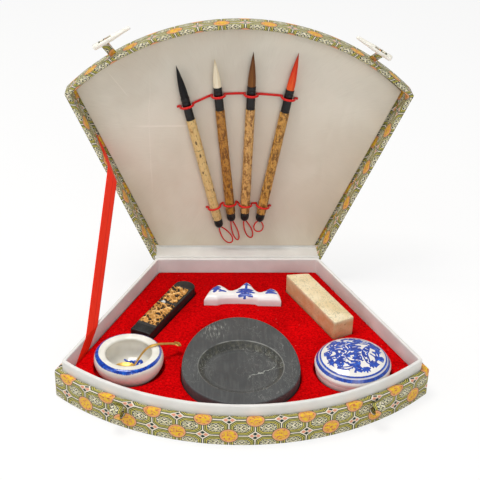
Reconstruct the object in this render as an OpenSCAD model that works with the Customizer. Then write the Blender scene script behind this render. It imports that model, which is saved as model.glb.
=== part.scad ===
// Fan-shaped calligraphy set box with its lid open, its brushes tied into the lid
// and its stones, seal and porcelain seated in a velvet bed.
// X runs along the hinge, +Y points to the hinge at the back and +Z is up. The origin
// is the centre of the case's footprint on its underside. Lid pieces are drawn as they
// lie when the lid is shut, and are then turned about the hinge line.

/* [Case] */
// Greatest width, across the two front corners
case_w = 300; // [292:1:330]
// Width of the straight back edge
back_w = 154; // [148:1:170]
// Distance from the back edge to the front corners
side_d = 160.5; // [157:0.5:175]
// How far the curved front bulges past its corners
bulge = 62; // [58:1:70]
// Height of the outer walls, floor board included
case_h = 25; // [23:0.5:30]
// Thickness of the outer walls
case_wall = 5; // [4:0.5:6]
// Thickness of the floor board
floor_t = 2.5; // [2:0.5:4]
// How far the paper collar stands above the outer walls
collar_rise = 9; // [6:0.5:10]
// Thickness of the collar
collar_wall = 3; // [2:0.5:4]
// Height of the velvet above the underside
bed_top = 21; // [19:0.5:22]
// Gap round the velvet bed, where the ribbon is tucked in
bed_gap = 0.8; // [0.7:0.1:1.2]

/* [Lid] */
// Outer depth of the lid
lid_depth = 19; // [18.5:0.5:24]
// Thickness of the lid's walls
lid_wall = 4.3; // [3.6:0.1:4.4]
// Thickness of the lid's board
board_t = 2.2; // [1.8:0.1:3]
// Thickness of the satin panel, its crown included
pad_t = 1.6; // [1.2:0.1:2]
// Distance from the lid's outer edge to the satin panel
pad_inset = 7; // [5.5:0.5:10]
// Angle through which the lid stands open
lid_open = 93.5; // [90:0.5:100]
// Distance of the fold line behind the back wall
fold_back = 2.1; // [1.8:0.1:2.4]
// Distance of the fold line below the top of the outer walls
fold_drop = 1.3; // [1.1:0.1:1.6]
// Gap between the shut lid and the case
shut_gap = 0.15; // [0.1:0.05:0.4]

/* [Cloth] */
// Thickness of the brocade strip over the hinge
cloth_t = 0.5; // [0.3:0.1:0.8]
// Thickness of the white paper over the hinge
paper_t = 0.3; // [0.2:0.1:0.5]
// Width of the stay ribbon
ribbon_w = 13; // [8:1:18]
// Thickness of the stay ribbon
ribbon_t = 0.4; // [0.3:0.1:0.5]

/* [Clasps] */
// Angle of the left clasp round the curved front
left_clasp = 30.4; // [26:0.2:36]
// Angle of the right clasp round the curved front
right_clasp = 32; // [26:0.2:36]
// Distance along the front from a strap to its loop
loop_reach = 13.4; // [11:0.2:16]
// Width of a strap
strap_w = 7; // [5:0.5:9]
// Thickness of a strap
strap_t = 1.3; // [1:0.1:1.8]
// Height of a strap's fold above the lid's rim
strap_up = 8; // [6:0.5:11]
// Length of a peg
peg_l = 36; // [32:1:42]
// Thickness of a peg at its slotted end
peg_d = 5.2; // [4.6:0.1:5.6]
// How far a peg slides on its strap
peg_play = 5; // [3:0.5:7]
// Forward lean of the left strap as it stands on the open lid
left_lean = 28; // [0:1:60]
// Forward lean of the right strap as it stands on the open lid
right_lean = 48; // [0:1:60]
// Inner diameter of a case loop
loop_d = 8; // [7.6:0.2:9]
// Width of a case loop
loop_w = 9; // [7:0.5:11]

/* [Brushes] */
// Greatest diameter of a bamboo handle
handle_d = 8.8; // [8:0.1:9]
// Diameter of a ferrule
ferrule_d = 7.8; // [7:0.1:8]
// Length of the cap at the end of a handle
cap_l = 8; // [6:0.5:10]
// Length of a bamboo handle
handle_l = 100; // [92:1:104]
// Length of a ferrule
ferrule_l = 21; // [18:1:24]
// Diameter of the upper elastic cord
upper_cord_d = 2.1; // [1.6:0.1:2.1]
// Diameter of the lower elastic cord
lower_cord_d = 1.8; // [1.4:0.1:1.8]
// Diameter of a hanging loop's cord
loop_cord_d = 1.2; // [1:0.1:1.4]

/* [Ink stone] */
// Width of the ink stone
stone_w = 95; // [88:1:98]
// Length of its narrow half, towards the hinge
stone_back = 70.5; // [64:0.5:72]
// Length of its broad half, towards the front
stone_front = 46.5; // [42:0.5:48]
// Thickness of the ink stone
stone_t = 19; // [16:0.5:20]
// How far it stands above the velvet
stone_up = 7.6; // [6:0.2:8]
// Radius of its round well
well_r = 36.5; // [30:0.5:38]
// Depth of the well at its back
well_depth = 5.5; // [5:0.5:7]

/* [Ink stick] */
// Width of the ink stick
stick_w = 18.3; // [15:0.1:20]
// Length of the ink stick
stick_l = 85.5; // [80:0.5:90]
// Thickness of the ink stick
stick_t = 11; // [8:0.5:12]
// How far it stands above the velvet
stick_up = 7.2; // [5:0.2:8]

/* [Brush rest] */
// Width of the brush rest across its feet
rest_w = 67.2; // [60:0.2:70]
// Height of its middle peak
rest_peak = 27; // [24:0.5:29]
// Thickness of the brush rest
rest_t = 14; // [11:0.5:16]
// How far it stands above the velvet
rest_up = 7.6; // [6:0.2:8]

/* [Seal stone] */
// Width of the seal stone
seal_w = 19.2; // [16:0.1:21]
// Length of the seal stone
seal_l = 79; // [72:0.5:84]
// Thickness of the seal stone
seal_t = 18.5; // [16:0.5:20]
// How far it stands above the velvet
seal_up = 16; // [13:0.5:17]

/* [Water dish] */
// Outer diameter of the water dish
dish_d = 56; // [50:0.5:58]
// Diameter of its mouth
mouth_d = 37; // [34:0.5:40]
// Height of the water dish
dish_h = 24.5; // [22:0.5:26]
// How far it stands above the velvet
dish_up = 13.2; // [11:0.2:14]
// Gap between the water dish and the ink stone
dish_gap = 14.3; // [6:0.1:16]

/* [Seal paste box] */
// Outer diameter of the seal paste box
paste_d = 61.5; // [56:0.5:63]
// Height of the box without its lid
paste_h = 16; // [14:0.5:18]
// Height of the domed lid
dome_h = 13.5; // [11:0.5:14]
// Thickness of the box's walls
paste_wall = 3; // [2.5:0.5:4]
// How far the shut box stands above the velvet
paste_up = 16.8; // [14:0.2:17.4]
// Gap between the seal paste box and the ink stone
paste_gap = 11.9; // [6:0.1:14]

/* [Hidden] */

// Gap between a seated piece and its recess
seat_gap = 0.6;
// Gap between a sliding piece and what guides it
slide_gap = 0.25;
// Gap between glued or resting faces of different pieces
skin_gap = 0.05;
// Easing of the edges of the stones and the brush rest
edge = 1;
// Facets of the large arcs and of the turned pieces
arc_fn = 240;
turn_fn = 72;

// Plan of the case
depth = side_d + bulge;
back_y = depth / 2;
side_a = atan((case_w - back_w) / 2 / side_d);
arc_r = (pow(case_w / 2, 2) + pow(bulge, 2)) / (2 * bulge);
arc_y = arc_r - back_y;
arc_off = back_w / 2 * cos(side_a) + (back_y - arc_y) * sin(side_a);
collar_in = case_wall + collar_wall;

// Heights of the shut lid
rim_z = case_h + shut_gap;
lid_z = rim_z + lid_depth;
board_z = lid_z - board_t;
pad_z = board_z - pad_t;
hinge_y = back_y + fold_back;
hinge_z = case_h - fold_drop;

// Where the pieces lie: gaps to the outer faces of the back, side and front walls, and
// how far the ink stone and the brush rest lie to the right of the middle
stone_x = -1.6;
stone_margin = 14.1;
dish_margin = 19;
paste_margin = 12;
stick_from_back = 18.9;
stick_from_side = 33.2;
stick_turn = 3.3;
seal_from_back = 23.6;
seal_from_side = 27.8;
seal_turn = 1.2;
rest_x = 2.9;
rest_from_back = 62.3;
rest_turn = -1.7;

// Brushes, from left to right: place of the cap's end, lean, and length of the hair
brush_x = [-16.1, -5.3, 6.4, 19.9];
brush_back = [29.2, 35.6, 36, 35.1];
brush_lean = [14.1, 6.2, -1.7, -10.6];
hair_l = [29.5, 25, 30.5, 33.7];
hair_color = ["#141414", "#e9dcc0", "#6b3c1e", "#c8321c"];
axis_drop = handle_d / 2 + slide_gap;
brush_z = pad_z - axis_drop;
ferrule_at = cap_l + handle_l;
hair_at = ferrule_at + ferrule_l;

// Hanging loops: length, width and swing of each
loop_len = [19.5, 22.3, 20.5, 11];
loop_wide = [7.2, 4.4, 5.6, 7.7];
loop_swing = [19.7, 9.5, 20.6, 6.2];
// How far each loop's end lies back against the satin, and how sharply it narrows at the cap
loop_back = [0.4, 3.4, 3.2, 0.3];
loop_sharp = [0.9, 0.9, 0.9, 0.45];
// Depth to which the cord's two ends are glued into the cap, and half their spacing
loop_in = 5.2;
loop_off = 0.66;

// Colours
brocade = "#a9a06c";
white_paper = "#ece6e2";
velvet = "#b80606";
satin = "#d9d2c9";
red_cord = "#d3202a";
bone = "#f1eee4";
bamboo = "#c09048";
horn = "#1d1b1b";
slate = "#55585a";
ink_black = "#1f2120";
gold = "#c8964a";
porcelain = "#f2f1ee";
soapstone = "#e6d9b4";
brass = "#c79a3c";

// Plan shapes

function side_x(y, inset) =
  back_w / 2 + (back_y - y) * tan(side_a) - inset / cos(side_a);

// Angle of a front corner, measured below +X about the arc's centre
function corner_a(inset) = acos((arc_off - inset) / (arc_r - inset)) - side_a;

// Outline of the fan, drawn in from the edge by inset, counter-clockwise
function fan_loop(inset, z, n = 40) = concat(
  [[side_x(back_y - inset, inset), back_y - inset, z],
   [-side_x(back_y - inset, inset), back_y - inset, z]],
  [for (i = [0:n])
    let (a = -180 + corner_a(inset) + i / n * (180 - 2 * corner_a(inset)))
    [(arc_r - inset) * cos(a), arc_y + (arc_r - inset) * sin(a), z]]);

module wedge(inset) {
  polygon([
    [-side_x(back_y - inset, inset), back_y - inset],
    [-side_x(-back_y - bulge, inset), -back_y - bulge],
    [side_x(-back_y - bulge, inset), -back_y - bulge],
    [side_x(back_y - inset, inset), back_y - inset]
  ]);
}

module disc(inset) {
  translate([0, arc_y]) circle(r = arc_r - inset, $fn = arc_fn);
}

module fan(inset) {
  intersection() {
    disc(inset);
    wedge(inset);
  }
}

// One wall of a ring between two insets: back, front, or a side with side = -1 or 1
module back_wall(outer, inner) {
  difference() {
    wedge(outer);
    translate([-case_w, -2 * depth]) square([2 * case_w, 2 * depth + back_y - inner]);
  }
}

module front_wall(outer, inner) {
  difference() {
    fan(outer);
    disc(inner);
  }
}

module side_wall(side, outer, inner) {
  intersection() {
    difference() {
      intersection() {
        wedge(outer);
        disc(inner);
      }
      wedge(inner);
      translate([-case_w, back_y - inner]) square([2 * case_w, inner]);
    }
    translate([side * case_w / 2, 0]) square([case_w, 2 * depth], center = true);
  }
}

module raised(z0, z1) {
  translate([0, 0, z0]) linear_extrude(height = z1 - z0) children();
}

// Places

module lid_pose() {
  translate([0, hinge_y, hinge_z])
    rotate([-lid_open, 0, 0])
      translate([0, -hinge_y, -hinge_z])
        children();
}

function open_pt(p) = [
  p.x,
  hinge_y + (p.y - hinge_y) * cos(lid_open) + (p.z - hinge_z) * sin(lid_open),
  hinge_z - (p.y - hinge_y) * sin(lid_open) + (p.z - hinge_z) * cos(lid_open)
];

// A place beside a side wall: along it from the back, and in from its outer face
module by_wall(side, along, off, turn) {
  x = back_w / 2 + along * sin(side_a) - off * cos(side_a);
  y = back_y - along * cos(side_a) - off * sin(side_a);
  translate([side * x, y, 0]) rotate([0, 0, side * (side_a + turn)]) children();
}

// A place behind the curved front, at x, and off from its outer face
module by_front(x, off) {
  translate([x, arc_y - sqrt(pow(arc_r - off, 2) - x * x), 0]) children();
}

// The frame of a clasp: +X along the front and away from the middle, -Y outwards
module by_clasp(side, angle, out = 0) {
  r = arc_r + out;
  translate([side * r * sin(angle), arc_y - r * cos(angle), 0])
    rotate([0, 0, side * angle])
      mirror([side < 0 ? 1 : 0, 0, 0])
        children();
}

// Lofted and swept solids

// A closed skin through loops of one length, each counter-clockwise about its way
module skin(loops) {
  n = len(loops[0]);
  m = len(loops);
  polyhedron(
    points = [for (l = loops) each l],
    faces = concat(
      [[for (i = [0:n - 1]) i]],
      [for (j = [0:m - 2], i = [0:n - 1])
        [j * n + i, (j + 1) * n + i, (j + 1) * n + (i + 1) % n]],
      [for (j = [0:m - 2], i = [0:n - 1])
        [j * n + i, (j + 1) * n + (i + 1) % n, j * n + (i + 1) % n]],
      [[for (i = [n - 1:-1:0]) (m - 1) * n + i]]
    )
  );
}

function unit(v) = v / norm(v);

function way(path, i) = unit(path[min(i + 1, len(path) - 1)] - path[max(i - 1, 0)]);

// Round tube along a path that never runs along ref
module tube(path, r, ref, sides = 8) {
  skin([for (i = [0:len(path) - 1])
    let (t = way(path, i), b = unit(cross(t, ref)), n = cross(b, t))
    [for (k = [0:sides - 1])
      path[i] + r * (cos(360 * k / sides) * n + sin(360 * k / sides) * b)]]);
}

// Flat loop drawn in by d along the mean of its neighbouring edges' normals
function drawn_in(loop, d) = [for (i = [0:len(loop) - 1])
  let (
    n = len(loop),
    e0 = unit(loop[i] - loop[(i + n - 1) % n]),
    e1 = unit(loop[(i + 1) % n] - loop[i]),
    m = unit([-e0.y - e1.y, e0.x + e1.x])
  )
  loop[i] + m * d / max(0.5, m * [-e0.y, e0.x])];

function at_z(loop, z) = [for (p = loop) [p.x, p.y, z]];

// A slab between two heights from a flat loop, its edges eased by steps of [inset, rise]
// at the foot and of [inset, drop] at the head
module slab(loop, z0, z1, foot, head) {
  skin(concat(
    [for (s = foot) at_z(drawn_in(loop, edge * s[0]), z0 + edge * s[1])],
    [for (s = head) at_z(drawn_in(loop, edge * s[0]), z1 - edge * s[1])]
  ));
}

// Catmull-Rom curve through the points, with k steps in each span
function smooth(p, k) = concat(
  [for (i = [0:len(p) - 2], j = [0:k - 1])
    let (
      t = j / k,
      a = p[max(i - 1, 0)],
      b = p[i],
      c = p[i + 1],
      d = p[min(i + 2, len(p) - 1)]
    )
    0.5 * (2 * b + (c - a) * t + (2 * a - 5 * b + 4 * c - d) * t * t
      + (3 * b - a - 3 * c + d) * t * t * t)],
  [p[len(p) - 1]]);

// Case

module floor_board() {
  color(brocade) raised(0, floor_t) fan(0);
}

module case_back() {
  color(brocade) raised(floor_t, case_h) back_wall(0, case_wall);
}

module case_side(side) {
  color(brocade) raised(floor_t, case_h) side_wall(side, 0, case_wall);
}

module case_front() {
  color(brocade) raised(floor_t, case_h) front_wall(0, case_wall);
}

collar_top = case_h + collar_rise;

module collar_back() {
  color(white_paper) raised(floor_t, collar_top) back_wall(case_wall, collar_in);
}

module collar_side(side) {
  color(white_paper) raised(floor_t, collar_top) side_wall(side, case_wall, collar_in);
}

module collar_front() {
  color(white_paper) raised(floor_t, collar_top) front_wall(case_wall, collar_in);
}

module velvet_bed() {
  color(velvet) difference() {
    raised(floor_t, bed_top) fan(collar_in + bed_gap);
    raised(stone_z, bed_top + 1)
      stone_place() polygon(stone_loop(seat_gap));
    raised(stick_z, bed_top + 1)
      stick_place() polygon(stick_loop(seat_gap));
    raised(rest_z, bed_top + 1)
      rest_place() polygon(drawn_in(rest_loop(), -seat_gap));
    raised(seal_z, bed_top + 1)
      seal_place() polygon(seal_loop(seat_gap));
    raised(dish_z, bed_top + 1)
      dish_place() circle(d = dish_d + 2 * seat_gap, $fn = turn_fn);
    raised(paste_z, bed_top + 1)
      paste_place() circle(d = paste_d + 2 * seat_gap, $fn = turn_fn);
  }
}

// A strip of cloth or paper along a path of [y, z] points
function strip(path, t) =
  let (
    n = [for (i = [0:len(path) - 1]) let (w = way(path, i)) [-w.y, w.x]]
  )
  concat(
    [for (i = [0:len(path) - 1]) path[i] + n[i] * t / 2],
    [for (i = [len(path) - 1:-1:0]) path[i] - n[i] * t / 2]
  );

module across(w) {
  translate([-w / 2, 0, 0]) rotate([90, 0, 90]) linear_extrude(height = w) children();
}

function yz(p) = [p.y, p.z];

// Cubic from a to d with the handles b and c
function bend(a, b, c, d, k) = [for (i = [0:k])
  let (t = i / k, s = 1 - t)
  s * s * s * a + 3 * s * s * t * b + 3 * s * t * t * c + t * t * t * d];

cloth_y = back_y + cloth_t / 2 + skin_gap;
cloth_low = [cloth_y, case_h - 17];
cloth_a = [cloth_y, case_h - 5];
cloth_b = yz(open_pt([0, cloth_y, rim_z + 4]));
cloth_end = yz(open_pt([0, cloth_y, rim_z + 15]));

module hinge_cloth() {
  path = concat(
    [cloth_low],
    bend(cloth_a, cloth_a + [0, 3.5], cloth_b - 3 * unit(cloth_end - cloth_b), cloth_b, 8),
    [cloth_end]
  );
  color(brocade) across(back_w - 2) polygon(strip(path, cloth_t));
}

paper_y = back_y - lid_wall - paper_t / 2 - skin_gap;
paper_top = case_h + paper_t / 2 + skin_gap;

module hinge_paper() {
  a = yz(open_pt([0, paper_y, pad_z - 0.5]));
  b = yz(open_pt([0, paper_y, rim_z - 0.4]));
  c = [back_y - 0.4, paper_top];
  path = concat(
    [a],
    bend(b, b + 1.8 * unit(b - a), c + [2.2, 0.4], c, 8),
    [[back_y - case_wall + skin_gap, paper_top]]
  );
  w = 2 * side_x(back_y - lid_wall, lid_wall);
  color(white_paper) across(w - 1) polygon(strip(path, paper_t));
}

// Clasps

loop_z = case_h - 7.7;
peg_out = peg_d / 2 + 0.35;
strap_out = strap_t / 2 + slide_gap;
strap_z = rim_z + strap_up;
// Distance from a strap's fold to its peg
strap_l = norm([strap_z - loop_z, peg_out - strap_out]);

module case_loop(side, angle) {
  wall = 1.2;
  outer = loop_d / 2 + wall;
  color(brocade) difference() {
    by_clasp(side, angle - loop_reach / arc_r * 180 / PI)
      translate([0, -outer + wall, loop_z])
        rotate([0, 90, 0]) difference() {
          cylinder(r = outer, h = loop_w, center = true, $fn = turn_fn);
          cylinder(d = loop_d, h = loop_w + 1, center = true, $fn = turn_fn);
        }
    translate([0, arc_y, 0])
      cylinder(r = arc_r, h = 2 * case_h, $fn = arc_fn);
  }
}

// A clasp's strap and peg lie in one frame: the fold is the X axis, the strap runs
// along -Y, and +X is the end of the peg that points away from the middle
module clasp_pose(side, angle, lean) {
  lid_pose()
    by_clasp(side, angle, strap_out)
      translate([0, 0, strap_z])
        rotate([lean, 0, 0])
          children();
}

module strap(side, angle, lean) {
  l = strap_l + peg_d / 2 + 0.2;
  color(brocade) clasp_pose(side, angle, lean) {
    translate([0, -l / 2, 0]) cube([strap_w, l, strap_t], center = true);
    rotate([0, 90, 0])
      cylinder(d = strap_t, h = strap_w, center = true, $fn = 24);
  }
}

slot_l = strap_w + 2 * slide_gap + peg_play;
peg_outer = 6;

// Turned bone pin, thickest round its slot and drawn in to a blunt point. It stands
// pushed in towards the middle, with the strap at the outer end of its slot.
module peg(side, angle, lean) {
  slot_out = strap_w / 2 + slide_gap;
  slot_in = slot_out - slot_l;
  x1 = slot_out + peg_outer;
  r = peg_d / 2;
  color(bone) clasp_pose(side, angle, lean) difference() {
    translate([x1 - peg_l, -strap_l, 0]) rotate([0, 90, 0])
      rotate_extrude($fn = 48) polygon([
        [0, 0], [r * 0.35, r * 0.06], [r * 0.58, r * 0.27], [r * 0.77, peg_l * 0.3],
        [r, peg_l * 0.5], [r, peg_l - r * 0.6], [r * 0.81, peg_l - r * 0.19],
        [r * 0.46, peg_l], [0, peg_l]
      ]);
    translate([slot_in, -strap_l - peg_d, -strap_t / 2 - slide_gap])
      cube([slot_l, 2 * peg_d, strap_t + 2 * slide_gap]);
  }
}

// Lid

module lid_board() {
  color(brocade) lid_pose() raised(board_z, lid_z) fan(0);
}

module lid_back() {
  color(brocade) lid_pose() raised(rim_z, board_z) back_wall(0, lid_wall);
}

module lid_side(side) {
  color(brocade) lid_pose() raised(rim_z, board_z) side_wall(side, 0, lid_wall);
}

module lid_front() {
  color(brocade) lid_pose() raised(rim_z, board_z) front_wall(0, lid_wall);
}

module satin_panel() {
  color(satin) lid_pose() skin([
    for (s = [[22, 0], [9, 0.12], [4, 0.28], [1.5, 0.45], [0.4, 0.7], [0, 1]])
      fan_loop(pad_inset + s[0], pad_z + s[1] * (pad_t - 0.6)),
    fan_loop(pad_inset, board_z)
  ]);
}

// Point on the panel's face at a distance from a brush's cap end, at height h off it
function on_brush(k, dist, across, h) =
  let (s = sin(brush_lean[k]), c = cos(brush_lean[k]))
  [brush_x[k] - dist * s + across * c, back_y - brush_back[k] - dist * c - across * s,
   pad_z - h];

// An elastic's way over one brush: up beside it, round it and down again
function hop(k, dist, r) =
  let (reach = handle_d / 2 + slide_gap + r)
  concat(
    [on_brush(k, dist, -reach - 0.7, r + skin_gap),
     on_brush(k, dist, -reach, axis_drop * 0.55)],
    [for (a = [0:30:180])
      on_brush(k, dist, -reach * cos(a), axis_drop + reach * sin(a))],
    [on_brush(k, dist, reach, axis_drop * 0.55),
     on_brush(k, dist, reach + 0.7, r + skin_gap)]
  );

module elastic(dist, d, lead) {
  color(red_cord) lid_pose() tube(
    concat(
      [on_brush(0, dist[0], -lead, d / 2 + skin_gap)],
      [for (k = [0:3]) each hop(k, dist[k], d / 2)],
      [on_brush(3, dist[3], lead, d / 2 + skin_gap)]
    ),
    d / 2, [0, 1, 0]);
}

// Distance of each elastic from the cap's end of each brush
upper_at = [for (d = [13, 13, 13, 13]) ferrule_at + d];
lower_at = [for (d = [12.5, 9, 7.5, 7.5]) cap_l + d];
// How far past the outer brushes' axes each elastic ends
upper_lead = 9;
lower_lead = 8;

// The ribbon lies on the inner face of the lid's left wall, crosses its rim, spans to
// the collar's top edge and runs down behind the velvet bed. Each stop has a place, the
// direction the ribbon is cut across there, half the length of that cut, and a facing.
ribbon_root_s = 118;
ribbon_lid_s = 93;
ribbon_case_s = 129;
ribbon_tuck_s = 149;
ribbon_tuck = 4;
wall_n = [cos(side_a), -sin(side_a), 0];
wall_way = [-sin(side_a), -cos(side_a), 0];
lid_wall_n = open_pt(wall_n) - open_pt([0, 0, 0]);
lid_wall_way = open_pt(wall_way) - open_pt([0, 0, 0]);

function left_wall_pt(along, inset, z) = [
  -back_w / 2 - along * sin(side_a) + inset * cos(side_a),
  back_y - along * cos(side_a) - inset * sin(side_a),
  z
];

ribbon_off = ribbon_t / 2 + skin_gap;
ribbon_stops = [
  [open_pt(left_wall_pt(ribbon_root_s, lid_wall + ribbon_off, pad_z + 0.6)),
   lid_wall_way, 0.75, lid_wall_n],
  [open_pt(left_wall_pt(ribbon_lid_s, lid_wall + ribbon_off, rim_z)),
   lid_wall_way, 0.66, lid_wall_n],
  [left_wall_pt(ribbon_case_s, collar_in + ribbon_off, collar_top + ribbon_off),
   wall_way, 0.78, wall_n],
  [left_wall_pt(ribbon_tuck_s, collar_in + ribbon_off, bed_top - ribbon_tuck),
   wall_way, 0.78, wall_n]
];

module stay_ribbon() {
  color(red_cord) skin([for (s = ribbon_stops)
    let (w = s[1] * s[2] * ribbon_w, n = s[3] * ribbon_t / 2)
    [s[0] - w - n, s[0] - w + n, s[0] + w + n, s[0] + w - n]]);
}

// Brushes. Each is turned about its own axis, from the cap's end up to the tip.

module brush_pose(k) {
  lid_pose()
    translate([brush_x[k], back_y - brush_back[k], brush_z])
      rotate([90, 0, -brush_lean[k]])
        children();
}

module turned(profile) {
  rotate_extrude($fn = turn_fn / 2) polygon(profile);
}

// Bamboo, with the low ridge and groove of two nodes
module brush_handle(k) {
  r = handle_d / 2;
  knot = [for (f = [0.24, 0.71]) cap_l + handle_l * f];
  color(bamboo) brush_pose(k) turned(concat(
    [[0, cap_l], [r - 0.5, cap_l], [r - 0.35, cap_l + 0.6]],
    [for (z = knot) each [[r - 0.2, z - 2.2], [r - 0.02, z - 0.8], [r - 0.3, z],
                          [r, z + 0.7], [r - 0.2, z + 2.4]]],
    [[r - 0.35, ferrule_at - 0.6], [r - 0.5, ferrule_at], [0, ferrule_at]]
  ));
}

// Horn ferrule with two fine grooves and a bell mouth
module brush_ferrule(k) {
  r = ferrule_d / 2;
  z0 = ferrule_at;
  z1 = hair_at;
  color(horn) brush_pose(k) turned([
    [0, z0], [r, z0], [r, z0 + 1.4], [r - 0.25, z0 + 1.8], [r, z0 + 2.2],
    [r - 0.15, z0 + ferrule_l * 0.5], [r - 0.05, z1 - 4.2], [r - 0.3, z1 - 3.8],
    [r - 0.05, z1 - 3.4], [r, z1 - 0.5], [r - 0.3, z1], [0, z1]
  ]);
}

// Hair bundle: full at the root, swelling a little, then drawn to a fine point, with
// the flutes that the tufts make in it
module brush_hair(k) {
  rings = 9;
  flutes = 13;
  color(hair_color[k]) brush_pose(k) skin([for (i = [0:rings])
    let (
      t = i / rings,
      r = (ferrule_d / 2 - 0.45) * (1.015 + 0.35 * t - 1.35 * pow(t, 1.6)),
      dip = 0.11 * sin(180 * min(1, 0.15 + t))
    )
    [for (j = [0:2 * flutes - 1])
      let (a = 180 / flutes * j + 6 * sin(900 * t), q = r * (j % 2 == 0 ? 1 : 1 - dip))
      [q * cos(a), q * sin(a), hair_at + hair_l[k] * t]]]);
}

// Horn cap with a neck, a domed end, and the bore that the loop's cord comes out of
module brush_cap(k) {
  r = ferrule_d / 2;
  bore = loop_off + loop_cord_d / 2 + 0.14;
  color(horn) brush_pose(k) turned([
    [0, loop_in + 0.4], [bore, loop_in + 0.4], [bore, 0.9], [bore + 0.6, 0],
    [bore + 0.9, 0.15], [r - 1, 0.9], [r - 0.25, 2.2],
    [r, 4], [r, cap_l - 2], [r - 0.25, cap_l - 1.6], [r, cap_l - 1.2], [r, cap_l],
    [0, cap_l]
  ]);
}

// Drop-shaped loop of thin cord that comes out of the cap, hangs towards the hinge and
// lies back a little on the satin
module brush_loop(k) {
  steps = 18;
  sharp = loop_sharp[k];
  widest = max([for (a = [0:180]) sin(a) * pow(sin(a / 2), sharp)]);
  function at(x, y, swing) = let (t = -y / loop_len[k])
    [x * cos(swing) - y * sin(swing), loop_back[k] * t * t * (3 - 2 * t),
     y * cos(swing) + x * sin(swing)];
  path = concat(
    [[loop_off, 0, loop_in]],
    [for (i = [0:steps])
      let (
        a = 360 * i / steps,
        x = loop_off * cos(a / 2)
            + loop_wide[k] / 2 * sin(a) * pow(sin(a / 2), sharp) / widest,
        y = -loop_len[k] * (1 - cos(a)) / 2
      )
      at(x, y, loop_swing[k])],
    [[-loop_off, 0, loop_in]]
  );
  color(red_cord) brush_pose(k) tube(path, loop_cord_d / 2, [0, 1, 0]);
}

// Ink stone: an egg-shaped slate slab with a round well, deepest at its back

stone_z = bed_top + stone_up - stone_t;

module stone_place() {
  by_front(stone_x, stone_front + stone_margin) children();
}

function stone_loop(grow = 0) = [for (i = [0:71])
  let (a = i * 5)
  [(stone_w / 2 + grow) * cos(a),
   ((sin(a) > 0 ? stone_back : stone_front) + grow) * sin(a)]];

module ink_stone() {
  top = stone_z + stone_t;
  slope = 3;
  color(slate) difference() {
    stone_place() slab(stone_loop(), stone_z, top,
      [[2, 0], [0.4, 1.6], [0, 3.2]], [[0.1, 1], [0.45, 0.35], [1.1, 0]]);
    stone_place() translate([0, 0, top]) rotate([-slope, 0, 0])
      translate([0, 0, -well_depth + well_r * sin(slope)])
        cylinder(r1 = well_r - 6.5, r2 = well_r + 1.2, h = well_depth + 1, $fn = turn_fn);
  }
}

// Ink stick: a bar with a flat foot and an arched head, and a gilt relief of clouds
// that winds along its face

stick_z = bed_top + stick_up - stick_t;

module stick_place() {
  by_wall(-1, stick_l / 2 + stick_from_back, stick_w / 2 + stick_from_side, stick_turn)
    children();
}

function stick_loop(grow = 0) =
  let (w = stick_w / 2 + grow, l = stick_l / 2 + grow, head = 7.5)
  concat(
    [[-w, l - head], [-w, -l], [w, -l], [w, l - head]],
    [for (a = [12:12:168]) [w * cos(a), l - head + head * sin(a)]]
  );

module ink_stick() {
  top = stick_z + stick_t;
  color(ink_black) stick_place() slab(stick_loop(), stick_z, top,
    [[0.9, 0], [0, 0.9]], [[0, 0.9], [0.3, 0.3], [0.9, 0]]);
}

// Half-round ridge along a path on the stick's face, thin at both ends
module ridge(path, w, h, z) {
  n = len(path) - 1;
  skin([for (i = [0:n])
    let (
      t = way(path, i),
      side = [-t.y, t.x],
      k = 0.35 + 0.65 * pow(sin(180 * (i + 0.35) / (n + 0.7)), 0.5)
    )
    [for (a = [0:30:180])
      let (q = path[i] + side * w / 2 * k * cos(a))
      [q.x, q.y, z + h * k * sin(a)]]]);
}

module ink_stick_relief() {
  z = stick_z + stick_t + skin_gap;
  color(gold) stick_place() {
    for (part = [[-31, 2], [5, 30]])
      ridge([for (i = [0:22])
        let (u = i / 22)
        [4.6 * sin(u * 540 + 30), part[0] + (part[1] - part[0]) * u]], 4.4, 1.1, z);
    for (p = [[-5.2, -22], [5.4, -15], [-5.4, -6], [5.2, 13], [-5.3, 21]])
      translate([p.x, p.y, z]) cylinder(d1 = 4, d2 = 2, h = 0.9, $fn = 16);
  }
}

// Brush rest: three porcelain peaks, lying on its back with its two feet to the front

rest_z = bed_top + rest_up - rest_t;

module rest_place() {
  translate([rest_x, back_y - rest_from_back, 0]) rotate([0, 0, rest_turn]) children();
}

function rest_top() =
  let (w = rest_w / 2, p = rest_peak)
  [[w, 0], [w * 0.98, p * 0.25], [w * 0.89, p * 0.54], [w * 0.73, p * 0.65],
   [w * 0.56, p * 0.5], [w * 0.45, p * 0.43], [w * 0.33, p * 0.58],
   [w * 0.21, p * 0.9], [w * 0.11, p], [w * 0.01, p * 0.9], [-w * 0.12, p * 0.65],
   [-w * 0.31, p * 0.5], [-w * 0.46, p * 0.68], [-w * 0.62, p * 0.82],
   [-w * 0.82, p * 0.61], [-w * 0.94, p * 0.26], [-w, 0]];

// Outline seen from above, with the arch between the feet along its front edge
function rest_loop() = concat(
  [[rest_w * 0.21, 0]],
  smooth(rest_top(), 3),
  [[-rest_w * 0.33, 0], [-rest_w * 0.27, 2.6], [rest_w * 0.16, 2.6]]
);

module brush_rest() {
  top = rest_z + rest_t;
  color(porcelain) rest_place() slab(rest_loop(), rest_z, top,
    [[0.6, 0], [0, 1]], [[0, 2.2], [0.3, 0.9], [0.75, 0.25], [1.2, 0]]);
}

// Seal stone: a square bar with eased edges and one end cut aslant

seal_z = bed_top + seal_up - seal_t;

module seal_place() {
  by_wall(1, seal_l / 2 + seal_from_back, seal_w / 2 + seal_from_side, seal_turn)
    children();
}

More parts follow.
